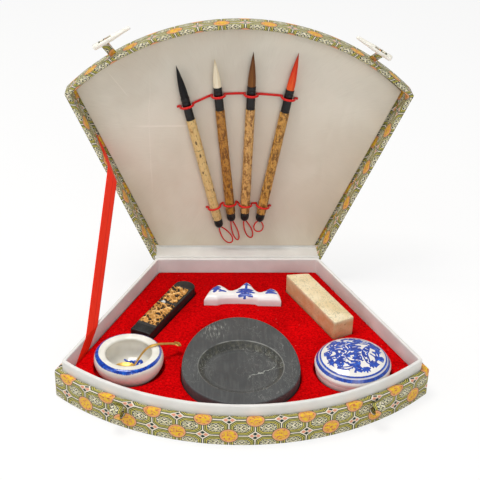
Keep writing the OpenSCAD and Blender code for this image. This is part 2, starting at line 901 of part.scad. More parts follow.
function seal_loop(grow = 0) =
  let (w = seal_w / 2 + grow, l = seal_l / 2 + grow, cut = 3.1, e = 1.1)
  [[-w, -l + e], [-w + e, -l], [w - e, -l], [w, -l + e], [w, l - cut - e],
   [w - e, l - cut], [-w + e, l + cut], [-w, l + cut - e]];

module seal_stone() {
  top = seal_z + seal_t;
  color(soapstone) seal_place() slab(seal_loop(), seal_z, top,
    [[0.9, 0], [0, 0.9]], [[0, 0.8], [0.25, 0.25], [0.8, 0]]);
}

// Water dish: a squat bowl with a thick lip that closes in over its hollow

dish_z = bed_top + dish_up - dish_h;
dish_floor = 4;

module dish_place() {
  by_front(stone_x - stone_w / 2 - dish_gap - dish_d / 2, dish_d / 2 + dish_margin)
    children();
}

module water_dish() {
  r = dish_d / 2;
  m = mouth_d / 2;
  h = dish_h;
  foot = smooth([[r * 0.6, 0], [r * 0.63, 1.2], [r * 0.8, h * 0.17], [r * 0.95, h * 0.4],
                 [r, h * 0.66], [r * 0.965, h * 0.84], [r * 0.87, h * 0.96],
                 [r * 0.77, h], [m + 0.6, h * 0.975], [m, h * 0.92],
                 [m + 1.4, h * 0.78], [m + 2.6, h * 0.58], [m + 1.8, h * 0.36],
                 [m * 0.75, dish_floor + 0.6], [m * 0.35, dish_floor]], 2);
  color(porcelain) dish_place() translate([0, 0, dish_z])
    rotate_extrude($fn = turn_fn) polygon(concat(
      [[0, 1.2], [r * 0.5, 1.2], [r * 0.52, 0]], foot, [[0, dish_floor]]
    ));
}

// Spoon: a small oval bowl on the dish's floor, with its handle bent over the lip

// Centre of the spoon's handle from the bowl to its tip, from the dish's centre and floor
handle_path = [[3.5, 4.5, 2.2], [6, 4.4, 7], [9, 4.6, 12.5], [12.6, 5, 17.6],
               [17, 5.8, 21.2], [22.5, 7.6, 21.8], [29, 10.6, 20.2], [35, 13.6, 18],
               [38, 15, 16.8], [41, 16.4, 15.6]];
handle_half = [1.1, 0.9, 0.9, 0.95, 1, 1, 1, 1.1, 3, 2.2];

module spoon() {
  t = 0.5;
  z0 = dish_z + dish_floor;
  path = smooth(handle_path, 3);
  color(brass) dish_place() translate([0, 0, z0]) {
    skin([for (i = [0:len(path) - 1])
      let (
        w = way(path, i),
        side = unit([-w.y, w.x, 0]),
        n = cross(w, side),
        j = min(floor(i / 3), len(handle_half) - 2),
        f = i / 3 - j,
        half = handle_half[j] * (1 - f) + handle_half[j + 1] * f
      )
      [path[i] - side * half - n * t, path[i] + side * half - n * t,
       path[i] + side * half + n * t, path[i] - side * half + n * t]]);
    translate([-3.5, 4.5, 0.4]) skin([
      for (s = [[0.35, 0], [0.75, 0.5], [1, 2.2]]) spoon_oval(s[0], s[1]),
      for (s = [[0.88, 2.2], [0.66, 1.3], [0.3, 0.9]]) spoon_oval(s[0], s[1])
    ]);
  }
}

function spoon_oval(k, z) = [for (a = [0:20:340]) [8 * k * cos(a), 5.2 * k * sin(a), z]];

// Seal paste box: a footed base with a raised lip, a domed lid and the paste

paste_z = bed_top + paste_up - paste_h - dome_h;
paste_seam = paste_z + paste_h;
lip_in = paste_wall + 0.6;
lip_w = 1.6;
lip_h = 2.2;

module paste_place() {
  by_front(stone_x + stone_w / 2 + paste_gap + paste_d / 2, paste_d / 2 + paste_margin)
    children();
}

module paste_box() {
  r = paste_d / 2;
  h = paste_h;
  i = r - lip_in - lip_w;
  color(porcelain) paste_place() translate([0, 0, paste_z])
    rotate_extrude($fn = turn_fn) polygon([
      [0, 1.4], [r * 0.64, 1.4], [r * 0.66, 0], [r * 0.72, 0], [r * 0.74, 1.6],
      [r * 0.86, h * 0.25], [r * 0.95, h * 0.5], [r * 0.985, h * 0.75], [r * 0.985, h],
      [r - lip_in, h], [r - lip_in, h + lip_h], [i, h + lip_h], [i, h * 0.45],
      [i * 0.9, 4.6], [i * 0.7, 4], [0, 4]
    ]);
}

module paste_box_lid() {
  r = paste_d / 2;
  g = shut_gap;
  d = dome_h;
  t = paste_wall;
  color(porcelain) paste_place() translate([0, 0, paste_seam])
    rotate_extrude($fn = turn_fn) polygon(concat(
      [[r - lip_in + slide_gap, g], [r - 0.5, g], [r, 0.8], [r, 3.2]],
      smooth([[r - 0.5, 4.2], [r * 0.945, 6], [r * 0.87, d * 0.62], [r * 0.7, d * 0.82],
              [r * 0.45, d * 0.95], [r * 0.2, d * 0.995], [0, d]], 2),
      [[0, d - t], [r * 0.45, d * 0.95 - t], [r * 0.7, d * 0.82 - t],
       [r - lip_in + slide_gap, lip_h + 1.4]]
    ));
}

module seal_paste() {
  i = paste_d / 2 - lip_in - lip_w - skin_gap;
  floor_z = 4 + skin_gap;
  color("#b3141c") paste_place() translate([0, 0, paste_z])
    rotate_extrude($fn = turn_fn) polygon([
      [0, floor_z], [i * 0.69, floor_z], [i * 0.88, 4.7], [i * 0.985, paste_h * 0.44],
      [i * 0.97, paste_h * 0.5], [i * 0.6, paste_h * 0.58], [0, paste_h * 0.6]
    ]);
}

floor_board();
case_back();
case_side(-1);  // case_left
case_side(1);  // case_right
case_front();
collar_back();
collar_side(-1);  // collar_left
collar_side(1);  // collar_right
collar_front();
velvet_bed();
hinge_cloth();
hinge_paper();
case_loop(-1, left_clasp);  // left_case_loop
case_loop(1, right_clasp);  // right_case_loop
lid_board();
lid_back();
lid_side(-1);  // lid_left
lid_side(1);  // lid_right
lid_front();
satin_panel();
elastic(upper_at, upper_cord_d, upper_lead);  // upper_elastic
elastic(lower_at, lower_cord_d, lower_lead);  // lower_elastic
stay_ribbon();
strap(-1, left_clasp, left_lean);  // left_strap
strap(1, right_clasp, right_lean);  // right_strap
peg(-1, left_clasp, left_lean);  // left_peg
peg(1, right_clasp, right_lean);  // right_peg
brush_handle(0);  // black_brush_handle
brush_ferrule(0);  // black_brush_ferrule
brush_hair(0);  // black_brush_hair
brush_cap(0);  // black_brush_cap
brush_loop(0);  // black_brush_loop
brush_handle(1);  // white_brush_handle
brush_ferrule(1);  // white_brush_ferrule
brush_hair(1);  // white_brush_hair
brush_cap(1);  // white_brush_cap
brush_loop(1);  // white_brush_loop
brush_handle(2);  // brown_brush_handle
brush_ferrule(2);  // brown_brush_ferrule
brush_hair(2);  // brown_brush_hair
brush_cap(2);  // brown_brush_cap
brush_loop(2);  // brown_brush_loop
brush_handle(3);  // red_brush_handle
brush_ferrule(3);  // red_brush_ferrule
brush_hair(3);  // red_brush_hair
brush_cap(3);  // red_brush_cap
brush_loop(3);  // red_brush_loop
ink_stone();
ink_stick();
ink_stick_relief();
brush_rest();
seal_stone();
water_dish();
spoon();
paste_box();
paste_box_lid();
seal_paste();
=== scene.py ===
"""Fan-shaped calligraphy set box standing open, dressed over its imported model.

Points are in millimetres in the part's frame: X along the hinge, Y to the hinge at the
back, Z up. They turn into metres where a mesh is made.
"""
import math

import bmesh
import bpy
import numpy as np
from mathutils import Matrix, Vector
from mathutils.geometry import delaunay_2d_cdt


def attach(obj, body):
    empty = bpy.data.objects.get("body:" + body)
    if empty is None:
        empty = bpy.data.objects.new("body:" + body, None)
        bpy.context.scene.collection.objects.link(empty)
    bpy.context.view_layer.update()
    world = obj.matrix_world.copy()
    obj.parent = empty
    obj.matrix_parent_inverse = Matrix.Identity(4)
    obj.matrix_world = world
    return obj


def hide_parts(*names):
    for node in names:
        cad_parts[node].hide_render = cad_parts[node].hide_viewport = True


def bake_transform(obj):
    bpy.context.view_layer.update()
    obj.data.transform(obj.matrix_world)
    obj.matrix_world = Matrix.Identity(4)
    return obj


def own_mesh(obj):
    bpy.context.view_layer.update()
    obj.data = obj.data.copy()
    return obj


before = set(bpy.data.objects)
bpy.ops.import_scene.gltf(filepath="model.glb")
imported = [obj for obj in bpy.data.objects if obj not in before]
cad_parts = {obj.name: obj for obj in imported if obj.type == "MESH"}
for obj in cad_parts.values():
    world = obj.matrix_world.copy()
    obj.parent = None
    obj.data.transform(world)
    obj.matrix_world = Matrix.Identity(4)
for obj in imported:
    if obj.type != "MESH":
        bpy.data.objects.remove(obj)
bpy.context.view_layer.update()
MM = 0.001

# Sizes of the box, as the model has them
BACK_W, SIDE_D, BULGE, CASE_W = 154.0, 160.5, 62.0, 300.0
CASE_H, COLLAR_TOP, COLLAR_IN, BED_TOP = 25.0, 34.0, 8.0, 21.0
LID_DEPTH, LID_WALL, LID_OPEN, SHUT_GAP = 19.0, 4.3, 93.5, 0.15
BACK_Y = (SIDE_D + BULGE) / 2
SIDE_A = math.atan((CASE_W - BACK_W) / 2 / SIDE_D)
ARC_R = ((CASE_W / 2) ** 2 + BULGE ** 2) / (2 * BULGE)
ARC_Y = ARC_R - BACK_Y
ARC_OFF = BACK_W / 2 * math.cos(SIDE_A) + (BACK_Y - ARC_Y) * math.sin(SIDE_A)
RIM_Z = CASE_H + SHUT_GAP
LID_Z = RIM_Z + LID_DEPTH
LID_BOARD, SATIN_DEPTH = 2.2, 1.6
PAD_Z = LID_Z - LID_BOARD - SATIN_DEPTH
HINGE_OUT, HINGE_DROP = 2.1, 1.3
HINGE = np.array([0, BACK_Y + HINGE_OUT, CASE_H - HINGE_DROP])


# Places

def turn(axis, degrees):
    """4x4 turn about x, y or z."""
    return np.array(Matrix.Rotation(math.radians(degrees), 4, axis.upper()))


def shift(x=0.0, y=0.0, z=0.0):
    """4x4 move."""
    return np.array(Matrix.Translation((x, y, z)))


def put(place, points):
    """The points carried by a 4x4 place."""
    points = np.asarray(points, float)
    return points @ place[:3, :3].T + place[:3, 3]


OPEN = shift(*HINGE) @ turn("x", -LID_OPEN) @ shift(*-HINGE)


def by_wall(side, along, off, skew):
    """A place beside a side wall: along it from the back, and in from its outer face."""
    x = BACK_W / 2 + along * math.sin(SIDE_A) - off * math.cos(SIDE_A)
    y = BACK_Y - along * math.cos(SIDE_A) - off * math.sin(SIDE_A)
    return shift(side * x, y) @ turn("z", side * (math.degrees(SIDE_A) + skew))


def by_front(x, off):
    """A place at x, in from the curved front by off."""
    return shift(x, ARC_Y - math.sqrt((ARC_R - off) ** 2 - x * x))


def by_clasp(side, degrees, out=0.0):
    """A clasp's place on the front: +X runs away from the middle, -Y outwards."""
    a = math.radians(degrees)
    r = ARC_R + out
    place = shift(side * r * math.sin(a), ARC_Y - r * math.cos(a)) @ turn("z", side * degrees)
    return place @ np.diag([side, 1, 1, 1]).astype(float)


# The set's pieces: their sizes, the gaps beside the ink stone, and their places. The
# stone is two half ellipses, one to the back and one to the front.
STONE_W, STONE_BACK, STONE_FRONT, STONE_H = 95.0, 70.5, 46.5, 19
STICK_W, STICK_L, STICK_H = 18.3, 85.5, 11
REST_W, REST_PEAK, REST_H = 67.2, 27, 14
SEAL_W, SEAL_L, SEAL_H = 19.2, 79, 18.5
DISH_R, DISH_MOUTH, DISH_H = 28.0, 18.5, 24.5
PASTE_R, PASTE_H, DOME_H = 30.75, 16, 13.5
STONE_X, DISH_GAP, PASTE_GAP = -1.6, 14.3, 11.9
STONE_AT = by_front(STONE_X, 60.6)
STICK_AT = by_wall(-1, STICK_L / 2 + 18.9, STICK_W / 2 + 33.2, 3.3)
REST_AT = shift(2.9, BACK_Y - 62.3) @ turn("z", -1.7)
SEAL_AT = by_wall(1, SEAL_L / 2 + 23.6, SEAL_W / 2 + 27.8, 1.2)
DISH_AT = by_front(STONE_X - STONE_W / 2 - DISH_GAP - DISH_R, DISH_R + 19)
PASTE_AT = by_front(STONE_X + STONE_W / 2 + PASTE_GAP + PASTE_R, PASTE_R + 12)
STONE_Z, STICK_Z, REST_Z, SEAL_Z, DISH_Z, PASTE_Z = 9.6, 17.2, 14.6, 18.5, 9.7, 8.3

# The four brushes: place of the cap's end, lean, and length of the hair
BRUSHES = ["black", "white", "brown", "red"]
BRUSH_X, BRUSH_BACK = [-16.1, -5.3, 6.4, 19.9], [29.2, 35.6, 36, 35.1]
BRUSH_LEAN, HAIR_L = [14.1, 6.2, -1.7, -10.6], [29.5, 25, 30.5, 33.7]
HANDLE_R, FERRULE_R, CAP_L, FERRULE_AT, HAIR_AT = 4.4, 3.9, 8.0, 108.0, 129.0
KNOTS = (32, 79)
AXIS_DROP = HANDLE_R + 0.25


def brush_at(k):
    """A brush's place: local z runs from the cap's end to the tip, y to the satin."""
    return (OPEN @ shift(BRUSH_X[k], BACK_Y - BRUSH_BACK[k], PAD_Z - AXIS_DROP)
            @ turn("z", -BRUSH_LEAN[k]) @ turn("x", 90))


# Curves

def unit(v):
    """Vectors over their own lengths."""
    return v / np.linalg.norm(v, axis=-1, keepdims=True)


def spline(points, steps):
    """Catmull-Rom curve: in each span a cubic through its ends, aimed by its neighbours."""
    p = np.asarray(points, float)
    p = np.concatenate([p[:1], p, p[-1:]])
    t = (np.arange(steps) / steps)[None, :, None]
    a, b, c, d = (p[i:len(p) - 3 + i][:, None] for i in range(4))
    curve = 0.5 * (2 * b + (c - a) * t + (2 * a - 5 * b + 4 * c - d) * t ** 2
                   + (3 * b - a - 3 * c + d) * t ** 3)
    return np.concatenate([curve.reshape(-1, p.shape[1]), p[-2:-1]])


def ways(path):
    """Unit direction at each point, from its two neighbours."""
    return unit(np.gradient(path, axis=0))


def travel(path):
    """Distance along a path at each of its points."""
    return np.concatenate([[0], np.cumsum(np.linalg.norm(np.diff(path, axis=0), axis=1))])


def ripple(x, y, size, seed=0, waves=5):
    """Smooth uneven field in -1..1: a sum of sine waves of lengths near size."""
    draw = np.random.default_rng(seed)
    total = 0
    for _ in range(waves):
        a, f, s = draw.uniform(0, 2 * math.pi, 3)
        k = 2 * math.pi / size * (0.6 + 0.8 * s / 6.3)
        total = total + np.sin(k * (x * math.cos(a) + y * math.sin(a)) + f)
    return total / waves


def ease(x, low, high):
    """0 below low, 1 above high, smooth between."""
    t = np.clip((x - low) / (high - low), 0, 1)
    return t * t * (3 - 2 * t)


# Points along the back, a side and the front's arc, and those that round a corner
STEPS, CORNER_SHARES = (44, 46, 110), (0.2, 0.4, 0.6, 0.8)


def fan_rows(insets, heights, corner=1.2, counts=STEPS):
    """Rows round the fan's outline, each drawn in by its inset and lifted to its height.

    A row runs straight along the back and the sides and round the front's arc. Each
    corner is a quadratic curve between points a corner's length before and after it.
    """
    rows = []
    for d, z in zip(insets, heights):
        side_x = BACK_W / 2 + d * math.tan(SIDE_A) - d / math.cos(SIDE_A)
        a = math.acos((ARC_OFF - d) / (ARC_R - d)) - SIDE_A
        r = ARC_R - d
        right = np.array([side_x, BACK_Y - d])
        left = right * [-1, 1]
        angles = np.linspace(-math.pi + a + corner / r, -a - corner / r, counts[2])
        arc = np.stack([r * np.cos(angles), ARC_Y + r * np.sin(angles)], -1)
        front_right = np.array([r * math.cos(a), ARC_Y - r * math.sin(a)])
        front_left = front_right * [-1, 1]

        def straight(p, q, n):
            t = np.linspace(corner, np.linalg.norm(q - p) - corner, n)[:, None]
            return p + unit(q - p) * t

        def bend(p, q, s):
            t = np.array(CORNER_SHARES)[:, None]
            return (1 - t) ** 2 * p + 2 * t * (1 - t) * q + t ** 2 * s

        parts = [straight(right, left, counts[0]), straight(left, front_left, counts[1]),
                 arc, straight(front_right, right, counts[1])]
        corners = [left, front_left, front_right, right]
        line = []
        for i, (part, tip) in enumerate(zip(parts, corners)):
            line += [part, bend(part[-1], tip, parts[(i + 1) % 4][0])]
        line = np.concatenate(line)
        rows.append(np.column_stack([line, np.full(len(line), z)]))
    return np.array(rows)


# Meshes

def metric(rows, around=False, tube=False):
    """UV in metres: u is the length along the middle row, v the length across a column."""
    if around:
        rows = np.concatenate([rows, rows[:, :1]], 1)
    if tube:
        rows = np.concatenate([rows, rows[:1]], 0)
    steps = np.linalg.norm(np.diff(rows, axis=1), axis=2).max(0)
    rises = np.linalg.norm(np.diff(rows, axis=0), axis=2).mean(1)
    u = np.concatenate([[0], np.cumsum(steps)])
    v = np.concatenate([[0], np.cumsum(rises)])
    return np.stack(np.meshgrid(u, v), -1) * MM


def surface(name, rows, around=False, tube=False, caps=(), uv=None, place=None):
    """Mesh object of a grid of points: quads between neighbours, closed round its columns
    or its rows as asked, with a flat cap on its first or last row where named.

    The grid and its UV are worked out in a local frame, which place then carries to the
    part's. Doubles are merged, and the normals are turned outwards.
    """
    rows = np.asarray(rows, float)
    n, m = rows.shape[:2]
    uv = metric(rows, around, tube) if uv is None else np.asarray(uv, float)
    i, j = np.meshgrid(np.arange(n if tube else n - 1), np.arange(m if around else m - 1),
                       indexing="ij")
    i, j = i.ravel(), j.ravel()
    i1, j1 = i + 1, j + 1
    quads = np.stack([i * m + j, i * m + j1 % m, i1 % n * m + j1 % m, i1 % n * m + j], -1)
    corners = np.stack([uv[i, j], uv[i, j1], uv[i1, j1], uv[i1, j]], 1).reshape(-1, 2)
    faces = quads.tolist()
    loops = [corners]
    for cap in caps:
        row = np.arange(m) + (n - 1) * m * (cap == "last")
        faces.append(row[::-1].tolist() if cap == "first" else row.tolist())
        flat = rows.reshape(-1, 3)[row]
        flat = (flat[::-1] if cap == "first" else flat)[:, :2] * MM
        loops.append(flat)
    mesh = bpy.data.meshes.new(name)
    points = rows.reshape(-1, 3) if place is None else put(place, rows.reshape(-1, 3))
    mesh.from_pydata((points * MM).tolist(), [], faces)
    layer = mesh.uv_layers.new(name="UVMap")
    layer.data.foreach_set("uv", np.concatenate(loops).astype(np.float32).ravel())
    return tidy(name, mesh)


def tidy(name, mesh):
    """Merges doubles, points the faces outwards and links the mesh as an object."""
    work = bmesh.new()
    work.from_mesh(mesh)
    bmesh.ops.remove_doubles(work, verts=work.verts, dist=2e-6)
    bmesh.ops.dissolve_degenerate(work, edges=work.edges, dist=1e-7)
    bmesh.ops.recalc_face_normals(work, faces=work.faces)
    for face in work.faces:
        face.smooth = True
    work.to_mesh(mesh)
    work.free()
    mesh.update()
    obj = bpy.data.objects.new(name, mesh)
    bpy.context.scene.collection.objects.link(obj)
    return obj


def patch(name, outline, holes, spacing, height, place=None):
    """Flat region inside an outline and outside its holes, filled with even triangles.

    Points on a square grid, kept spacing/2 from every edge, are joined with the
    outlines by a constrained triangulation, and height gives z over x and y.
    """
    loops = [np.asarray(outline)[:, :2]] + [np.asarray(h)[:, :2] for h in holes]
    low, high = loops[0].min(0), loops[0].max(0)
    gx, gy = np.meshgrid(np.arange(low[0], high[0], spacing),
                         np.arange(low[1], high[1], spacing))
    spots = np.stack([gx.ravel(), gy.ravel()], -1)
    keep = inside(spots, loops[0])
    for loop in loops[1:]:
        keep &= ~inside(spots, loop)
    for loop in loops:
        keep &= gap_to(spots, loop) > spacing * 0.5
    points, edges = [], []
    for loop in loops:
        first = len(points)
        points += [Vector(p) for p in loop]
        count = len(loop)
        edges += [(first + i, first + (i + 1) % count) for i in range(count)]
    points += [Vector(p) for p in spots[keep]]
    verts, _, faces, *_ = delaunay_2d_cdt(points, edges, [], 0, 1e-5)
    flat = np.array([list(v) for v in verts])
    faces = np.array([f for f in faces if len(f) == 3])
    middle = flat[faces].mean(1)
    good = inside(middle, loops[0])
    for loop in loops[1:]:
        good &= ~inside(middle, loop)
    mesh = bpy.data.meshes.new(name)
    solid = np.column_stack([flat, height(flat[:, 0], flat[:, 1])])
    solid = solid if place is None else put(place, solid)
    mesh.from_pydata((solid * MM).tolist(), [], faces[good].tolist())
    layer = mesh.uv_layers.new(name="UVMap")
    uv = flat[faces[good].ravel()] * MM
    layer.data.foreach_set("uv", uv.astype(np.float32).ravel())
    return tidy(name, mesh)


def inside(points, loop):
    """Whether each point lies in a closed outline, by counting the edges to its right."""
    a, b = loop, np.roll(loop, -1, 0)
    result = np.zeros(len(points), bool)
    for (x0, y0), (x1, y1) in zip(a, b):
        if y0 == y1:
            continue
        crosses = (y0 > points[:, 1]) != (y1 > points[:, 1])
        result ^= crosses & (points[:, 0] < (x1 - x0) * (points[:, 1] - y0) / (y1 - y0) + x0)
    return result


def gap_to(points, loop):
    """Distance from each point to a closed outline."""
    best = np.full(len(points), np.inf)
    for a, b in zip(loop, np.roll(loop, -1, 0)):
        way = b - a
        t = np.clip((points - a) @ way / max(way @ way, 1e-12), 0, 1)[:, None]
        best = np.minimum(best, np.linalg.norm(points - a - t * way, axis=1))
    return best


def joined(name, *objects):
    """The objects' meshes as one object, doubles merged."""
    work = bmesh.new()
    for obj in objects:
        work.from_mesh(obj.data)
    mesh = bpy.data.meshes.new(name)
    work.to_mesh(mesh)
    work.free()
    for obj in objects:
        bpy.data.objects.remove(obj)
    return tidy(name, mesh)


def band(name, path, across, facing, half, thick, steps=8, **more):
    """Flat band with rounded edges along a path.

    At each point the section reaches half of its width each way along across. Its two
    faces lie half of thick each way along facing, and round off over the last of it.
    """
    path = np.asarray(path, float)
    across, facing = (np.broadcast_to(np.asarray(v, float), path.shape)[:, None]
                      for v in (across, facing))
    half = np.broadcast_to(np.asarray(half, float), len(path))[:, None, None]
    t = thick / 2
    u = np.concatenate([np.linspace(-1, 1, steps), [1, 1, 1], np.linspace(1, -1, steps),
                        [-1, -1, -1]])
    cut = np.zeros(len(u))
    cut[[0, steps - 1, steps + 3, 2 * steps + 2]] = 0.6 * t
    w = np.concatenate([np.full(steps, -t), [-0.6 * t, 0, 0.6 * t], np.full(steps, t),
                        [0.6 * t, 0, -0.6 * t]])
    side = u[None, :, None] * half - (np.sign(u) * cut)[None, :, None]
    rows = path[:, None] + across * side + facing * w[None, :, None]
    return surface(name, rows, around=True, caps=("first", "last"), **more)


def tube(name, path, radius, sides=12, **more):
    """Round tube along a path: a circle square to its direction, carried without twist."""
    path = np.asarray(path, float)
    way = ways(path)
    normal = np.empty_like(path)
    first = np.cross(way[0], [0, 0, 1.0])
    if np.linalg.norm(first) < 0.1:
        first = np.cross(way[0], [1.0, 0, 0])
    normal[0] = unit(first)
    for i in range(1, len(path)):
        n = normal[i - 1] - way[i] * (normal[i - 1] @ way[i])
        normal[i] = unit(n)
    side = np.cross(way, normal)
    a = (np.arange(sides) / sides * 2 * math.pi)[None]
    r = np.broadcast_to(np.asarray(radius, float), len(path))[:, None, None]
    rows = path[:, None] + r * (np.cos(a)[..., None] * normal[:, None]
                                + np.sin(a)[..., None] * side[:, None])
    v, u = np.meshgrid(travel(path), np.arange(sides + 1) / sides, indexing="ij")
    uv = np.stack([u * 2 * math.pi * np.max(radius), v], -1) * MM
    return surface(name, rows, around=True, caps=("first", "last"), uv=uv, **more)


def lathe(name, profile, place, sides=96, shape=None):
    """A profile of (radius, height) turned round the place's own z axis.

    shape, if given, moves the points: it takes angle, radius and height as arrays and
    gives a new radius and height.
    """
    profile = np.asarray(profile, float)
    a = np.arange(sides) / sides * 2 * math.pi
    r, z = profile[:, :1] + 0 * a, profile[:, 1:] + 0 * a
    if shape:
        r, z = shape(a[None] + 0 * r, r, z)
    local = np.stack([r * np.cos(a), r * np.sin(a), z], -1)
    v = travel(profile)
    u = np.arange(sides + 1) / sides * 2 * math.pi * profile[:, 0].max()
    uv = np.stack(np.meshgrid(u, v), -1) * MM
    return surface(name, local, around=True, uv=uv, place=place)


def mark(obj, place, **fields):
    """Float attributes from functions of x, y and z in a place's frame and of nz, how far
    the surface faces up there."""
    count = len(obj.data.vertices)
    points, normals = np.empty(count * 3), np.empty(count * 3)
    obj.data.vertices.foreach_get("co", points)
    obj.data.vertices.foreach_get("normal", normals)
    back = np.linalg.inv(place)
    local = put(back, points.reshape(-1, 3) / MM)
    nz = normals.reshape(-1, 3) @ place[:3, 2]
    for label, field in fields.items():
        value = np.broadcast_to(field(*local.T, nz), count)
        attribute = obj.data.attributes.new(label, "FLOAT", "POINT")
        attribute.data.foreach_set("value", value.astype(np.float32))
    return obj


def fine(profile, steps=4):
    """More points on a profile, on straight lines between the given ones."""
    p = np.asarray(profile, float)
    t = (np.arange(steps) / steps)[None, :, None]
    return np.concatenate([(p[:-1, None] * (1 - t) + p[1:, None] * t).reshape(-1, 2), p[-1:]])


# Drawing on surfaces

def drawn(x, y, strokes, smooth_steps=5):
    """Signed distance in millimetres to brushed strokes, below zero inside the paint.

    A stroke is a list of (x, y, half width). Its curve is a spline through them, and the
    distance is that to the nearest span's line less the half width there.
    """
    best = np.full(x.shape, 9.0)
    for stroke in strokes:
        points = np.asarray(stroke, float)
        if len(points) == 1:
            points = np.repeat(points, 2, 0) + [[0, 0, 0], [1e-3, 0, 0]]
        if len(points) > 2:
            points = spline(points, smooth_steps)
        for (ax, ay, ar), (bx, by, br) in zip(points[:-1], points[1:]):
            dx, dy = bx - ax, by - ay
            t = np.clip(((x - ax) * dx + (y - ay) * dy) / max(dx * dx + dy * dy, 1e-9), 0, 1)
            gap = np.hypot(x - ax - t * dx, y - ay - t * dy) - (ar + t * (br - ar))
            best = np.minimum(best, gap)
    return best


def spray(x, y, aim, spread, length, count):
    """Leaves from one point: tapered strokes fanned about a direction."""
    leaves, width = [], 0.62
    for k in range(count):
        a = math.radians(aim + spread * (k / (count - 1) - 0.5))
        l = length * (0.72 + 0.28 * math.sin(math.pi * (k + 0.5) / count))
        c, s = math.cos(a), math.sin(a)
        leaves.append([(x, y, width * 0.5), (x + 0.5 * l * c, y + 0.5 * l * s, width),
                       (x + l * c, y + l * s, 0.1)])
    return leaves


def blossom(x, y, size):
    """Five round petals about a point, as single dabs."""
    petals = 5
    return [[(x + size * 0.6 * math.cos(2 * math.pi * k / petals),
              y + size * 0.6 * math.sin(2 * math.pi * k / petals), size * 0.42)]
            for k in range(petals)]


# Shader trees

def rgb(code):
    """Linear colour of an sRGB hex code."""
    s = [int(code[i:i + 2], 16) / 255 for i in (0, 2, 4)]
    return (*[c / 12.92 if c <= 0.04045 else ((c + 0.055) / 1.055) ** 2.4 for c in s], 1.0)


class Wire:
    """A socket that is added, multiplied and compared as a number is."""

    def __init__(self, tree, socket):
        self.tree, self.socket = tree, socket

    def do(self, operation, *others, clamp=False):
        node = add(self.tree, "ShaderNodeMath", operation=operation, use_clamp=clamp)
        for slot, value in zip(node.inputs, (self, *others)):
            feed(self.tree, slot, value)
        return Wire(self.tree, node.outputs[0])

    def __add__(self, other):
        return self.do("ADD", other)

    def __sub__(self, other):
        return self.do("SUBTRACT", other)

    def __rsub__(self, other):
        return self.do("MULTIPLY_ADD", -1.0, other)

    def __mul__(self, other):
        return self.do("MULTIPLY", other)

    def __truediv__(self, other):
        return self.do("DIVIDE", other)

    def __abs__(self):
        return self.do("ABSOLUTE")

    __radd__, __rmul__ = __add__, __mul__

    def rise(self, edge, soft):
        """0 below an edge and 1 above it, over a width of soft."""
        return self.do("MULTIPLY_ADD", 1 / soft, 0.5 - edge / soft, clamp=True)

    def fall(self, edge, soft):
        return self.do("MULTIPLY_ADD", -1 / soft, 0.5 + edge / soft, clamp=True)

    def band(self, low, high, soft):
        return self.rise(low, soft) * self.fall(high, soft)

    def sin(self):
        return self.do("SINE")

    def least(self, other):
        return self.do("MINIMUM", other)

    def most(self, other):
        return self.do("MAXIMUM", other)


def add(tree, kind, **settings):
    node = tree.nodes.new(kind)
    for key, value in settings.items():
        setattr(node, key, value)
    return node


def feed(tree, socket, value):
    """Links or sets one input."""
    if isinstance(value, Wire):
        tree.links.new(value.socket, socket)
    else:
        socket.default_value = value


class Shade:
    """Short calls for the nodes that a material or a group is laid out from."""

    def __init__(self, tree):
        self.tree = tree

    def where(self, kind="UV"):
        return Wire(self.tree, add(self.tree, "ShaderNodeTexCoord").outputs[kind])

    def field(self, name):
        node = add(self.tree, "ShaderNodeAttribute", attribute_name=name)
        return Wire(self.tree, node.outputs["Fac"])

    def split(self, vector):
        node = add(self.tree, "ShaderNodeSeparateXYZ")
        feed(self.tree, node.inputs[0], vector)
        return [Wire(self.tree, out) for out in node.outputs]

    def join(self, x, y, z=0.0):
        node = add(self.tree, "ShaderNodeCombineXYZ")
        for slot, value in zip(node.inputs, (x, y, z)):
            feed(self.tree, slot, value)
        return Wire(self.tree, node.outputs[0])

    def mapped(self, vector, scale=(1, 1, 1), place=(0, 0, 0), turned=(0, 0, 0)):
        node = add(self.tree, "ShaderNodeMapping")
        feed(self.tree, node.inputs["Vector"], vector)
        node.inputs["Scale"].default_value = scale
        node.inputs["Location"].default_value = place
        node.inputs["Rotation"].default_value = [math.radians(a) for a in turned]
        return Wire(self.tree, node.outputs[0])

    def noise(self, vector, scale, detail=2.0, rough=0.5, bent=0.0):
        node = add(self.tree, "ShaderNodeTexNoise")
        feed(self.tree, node.inputs["Vector"], vector)
        for key, value in (("Scale", scale), ("Detail", detail), ("Roughness", rough),
                           ("Distortion", bent)):
            feed(self.tree, node.inputs[key], value)
        return Wire(self.tree, node.outputs[0])

    def cells(self, vector, scale, feature="F1"):
        node = add(self.tree, "ShaderNodeTexVoronoi", feature=feature)
        feed(self.tree, node.inputs["Vector"], vector)
        feed(self.tree, node.inputs["Scale"], scale)
        return [Wire(self.tree, out) for out in node.outputs[:2]]

    def mix(self, share, a, b, kind="MIX"):
        node = add(self.tree, "ShaderNodeMix", data_type="RGBA", blend_type=kind)
        feed(self.tree, node.inputs[0], share)
        for slot, value in ((6, a), (7, b)):
            feed(self.tree, node.inputs[slot], rgb(value) if isinstance(value, str) else value)
        return Wire(self.tree, node.outputs[2])

    def layers(self, base, *coats):
        """A colour under coats of (mask, colour), the last on top."""
        for mask, colour in coats:
            base = self.mix(mask, base, colour)
        return base

    def use(self, group, **values):
        """Places a shared group, and gives its outputs by name."""
        node = add(self.tree, "ShaderNodeGroup", node_tree=groups[group])
        for key, value in values.items():
            feed(self.tree, node.inputs[key.replace("_", " ")], value)
        return {out.name: Wire(self.tree, out) for out in node.outputs}


groups = {}


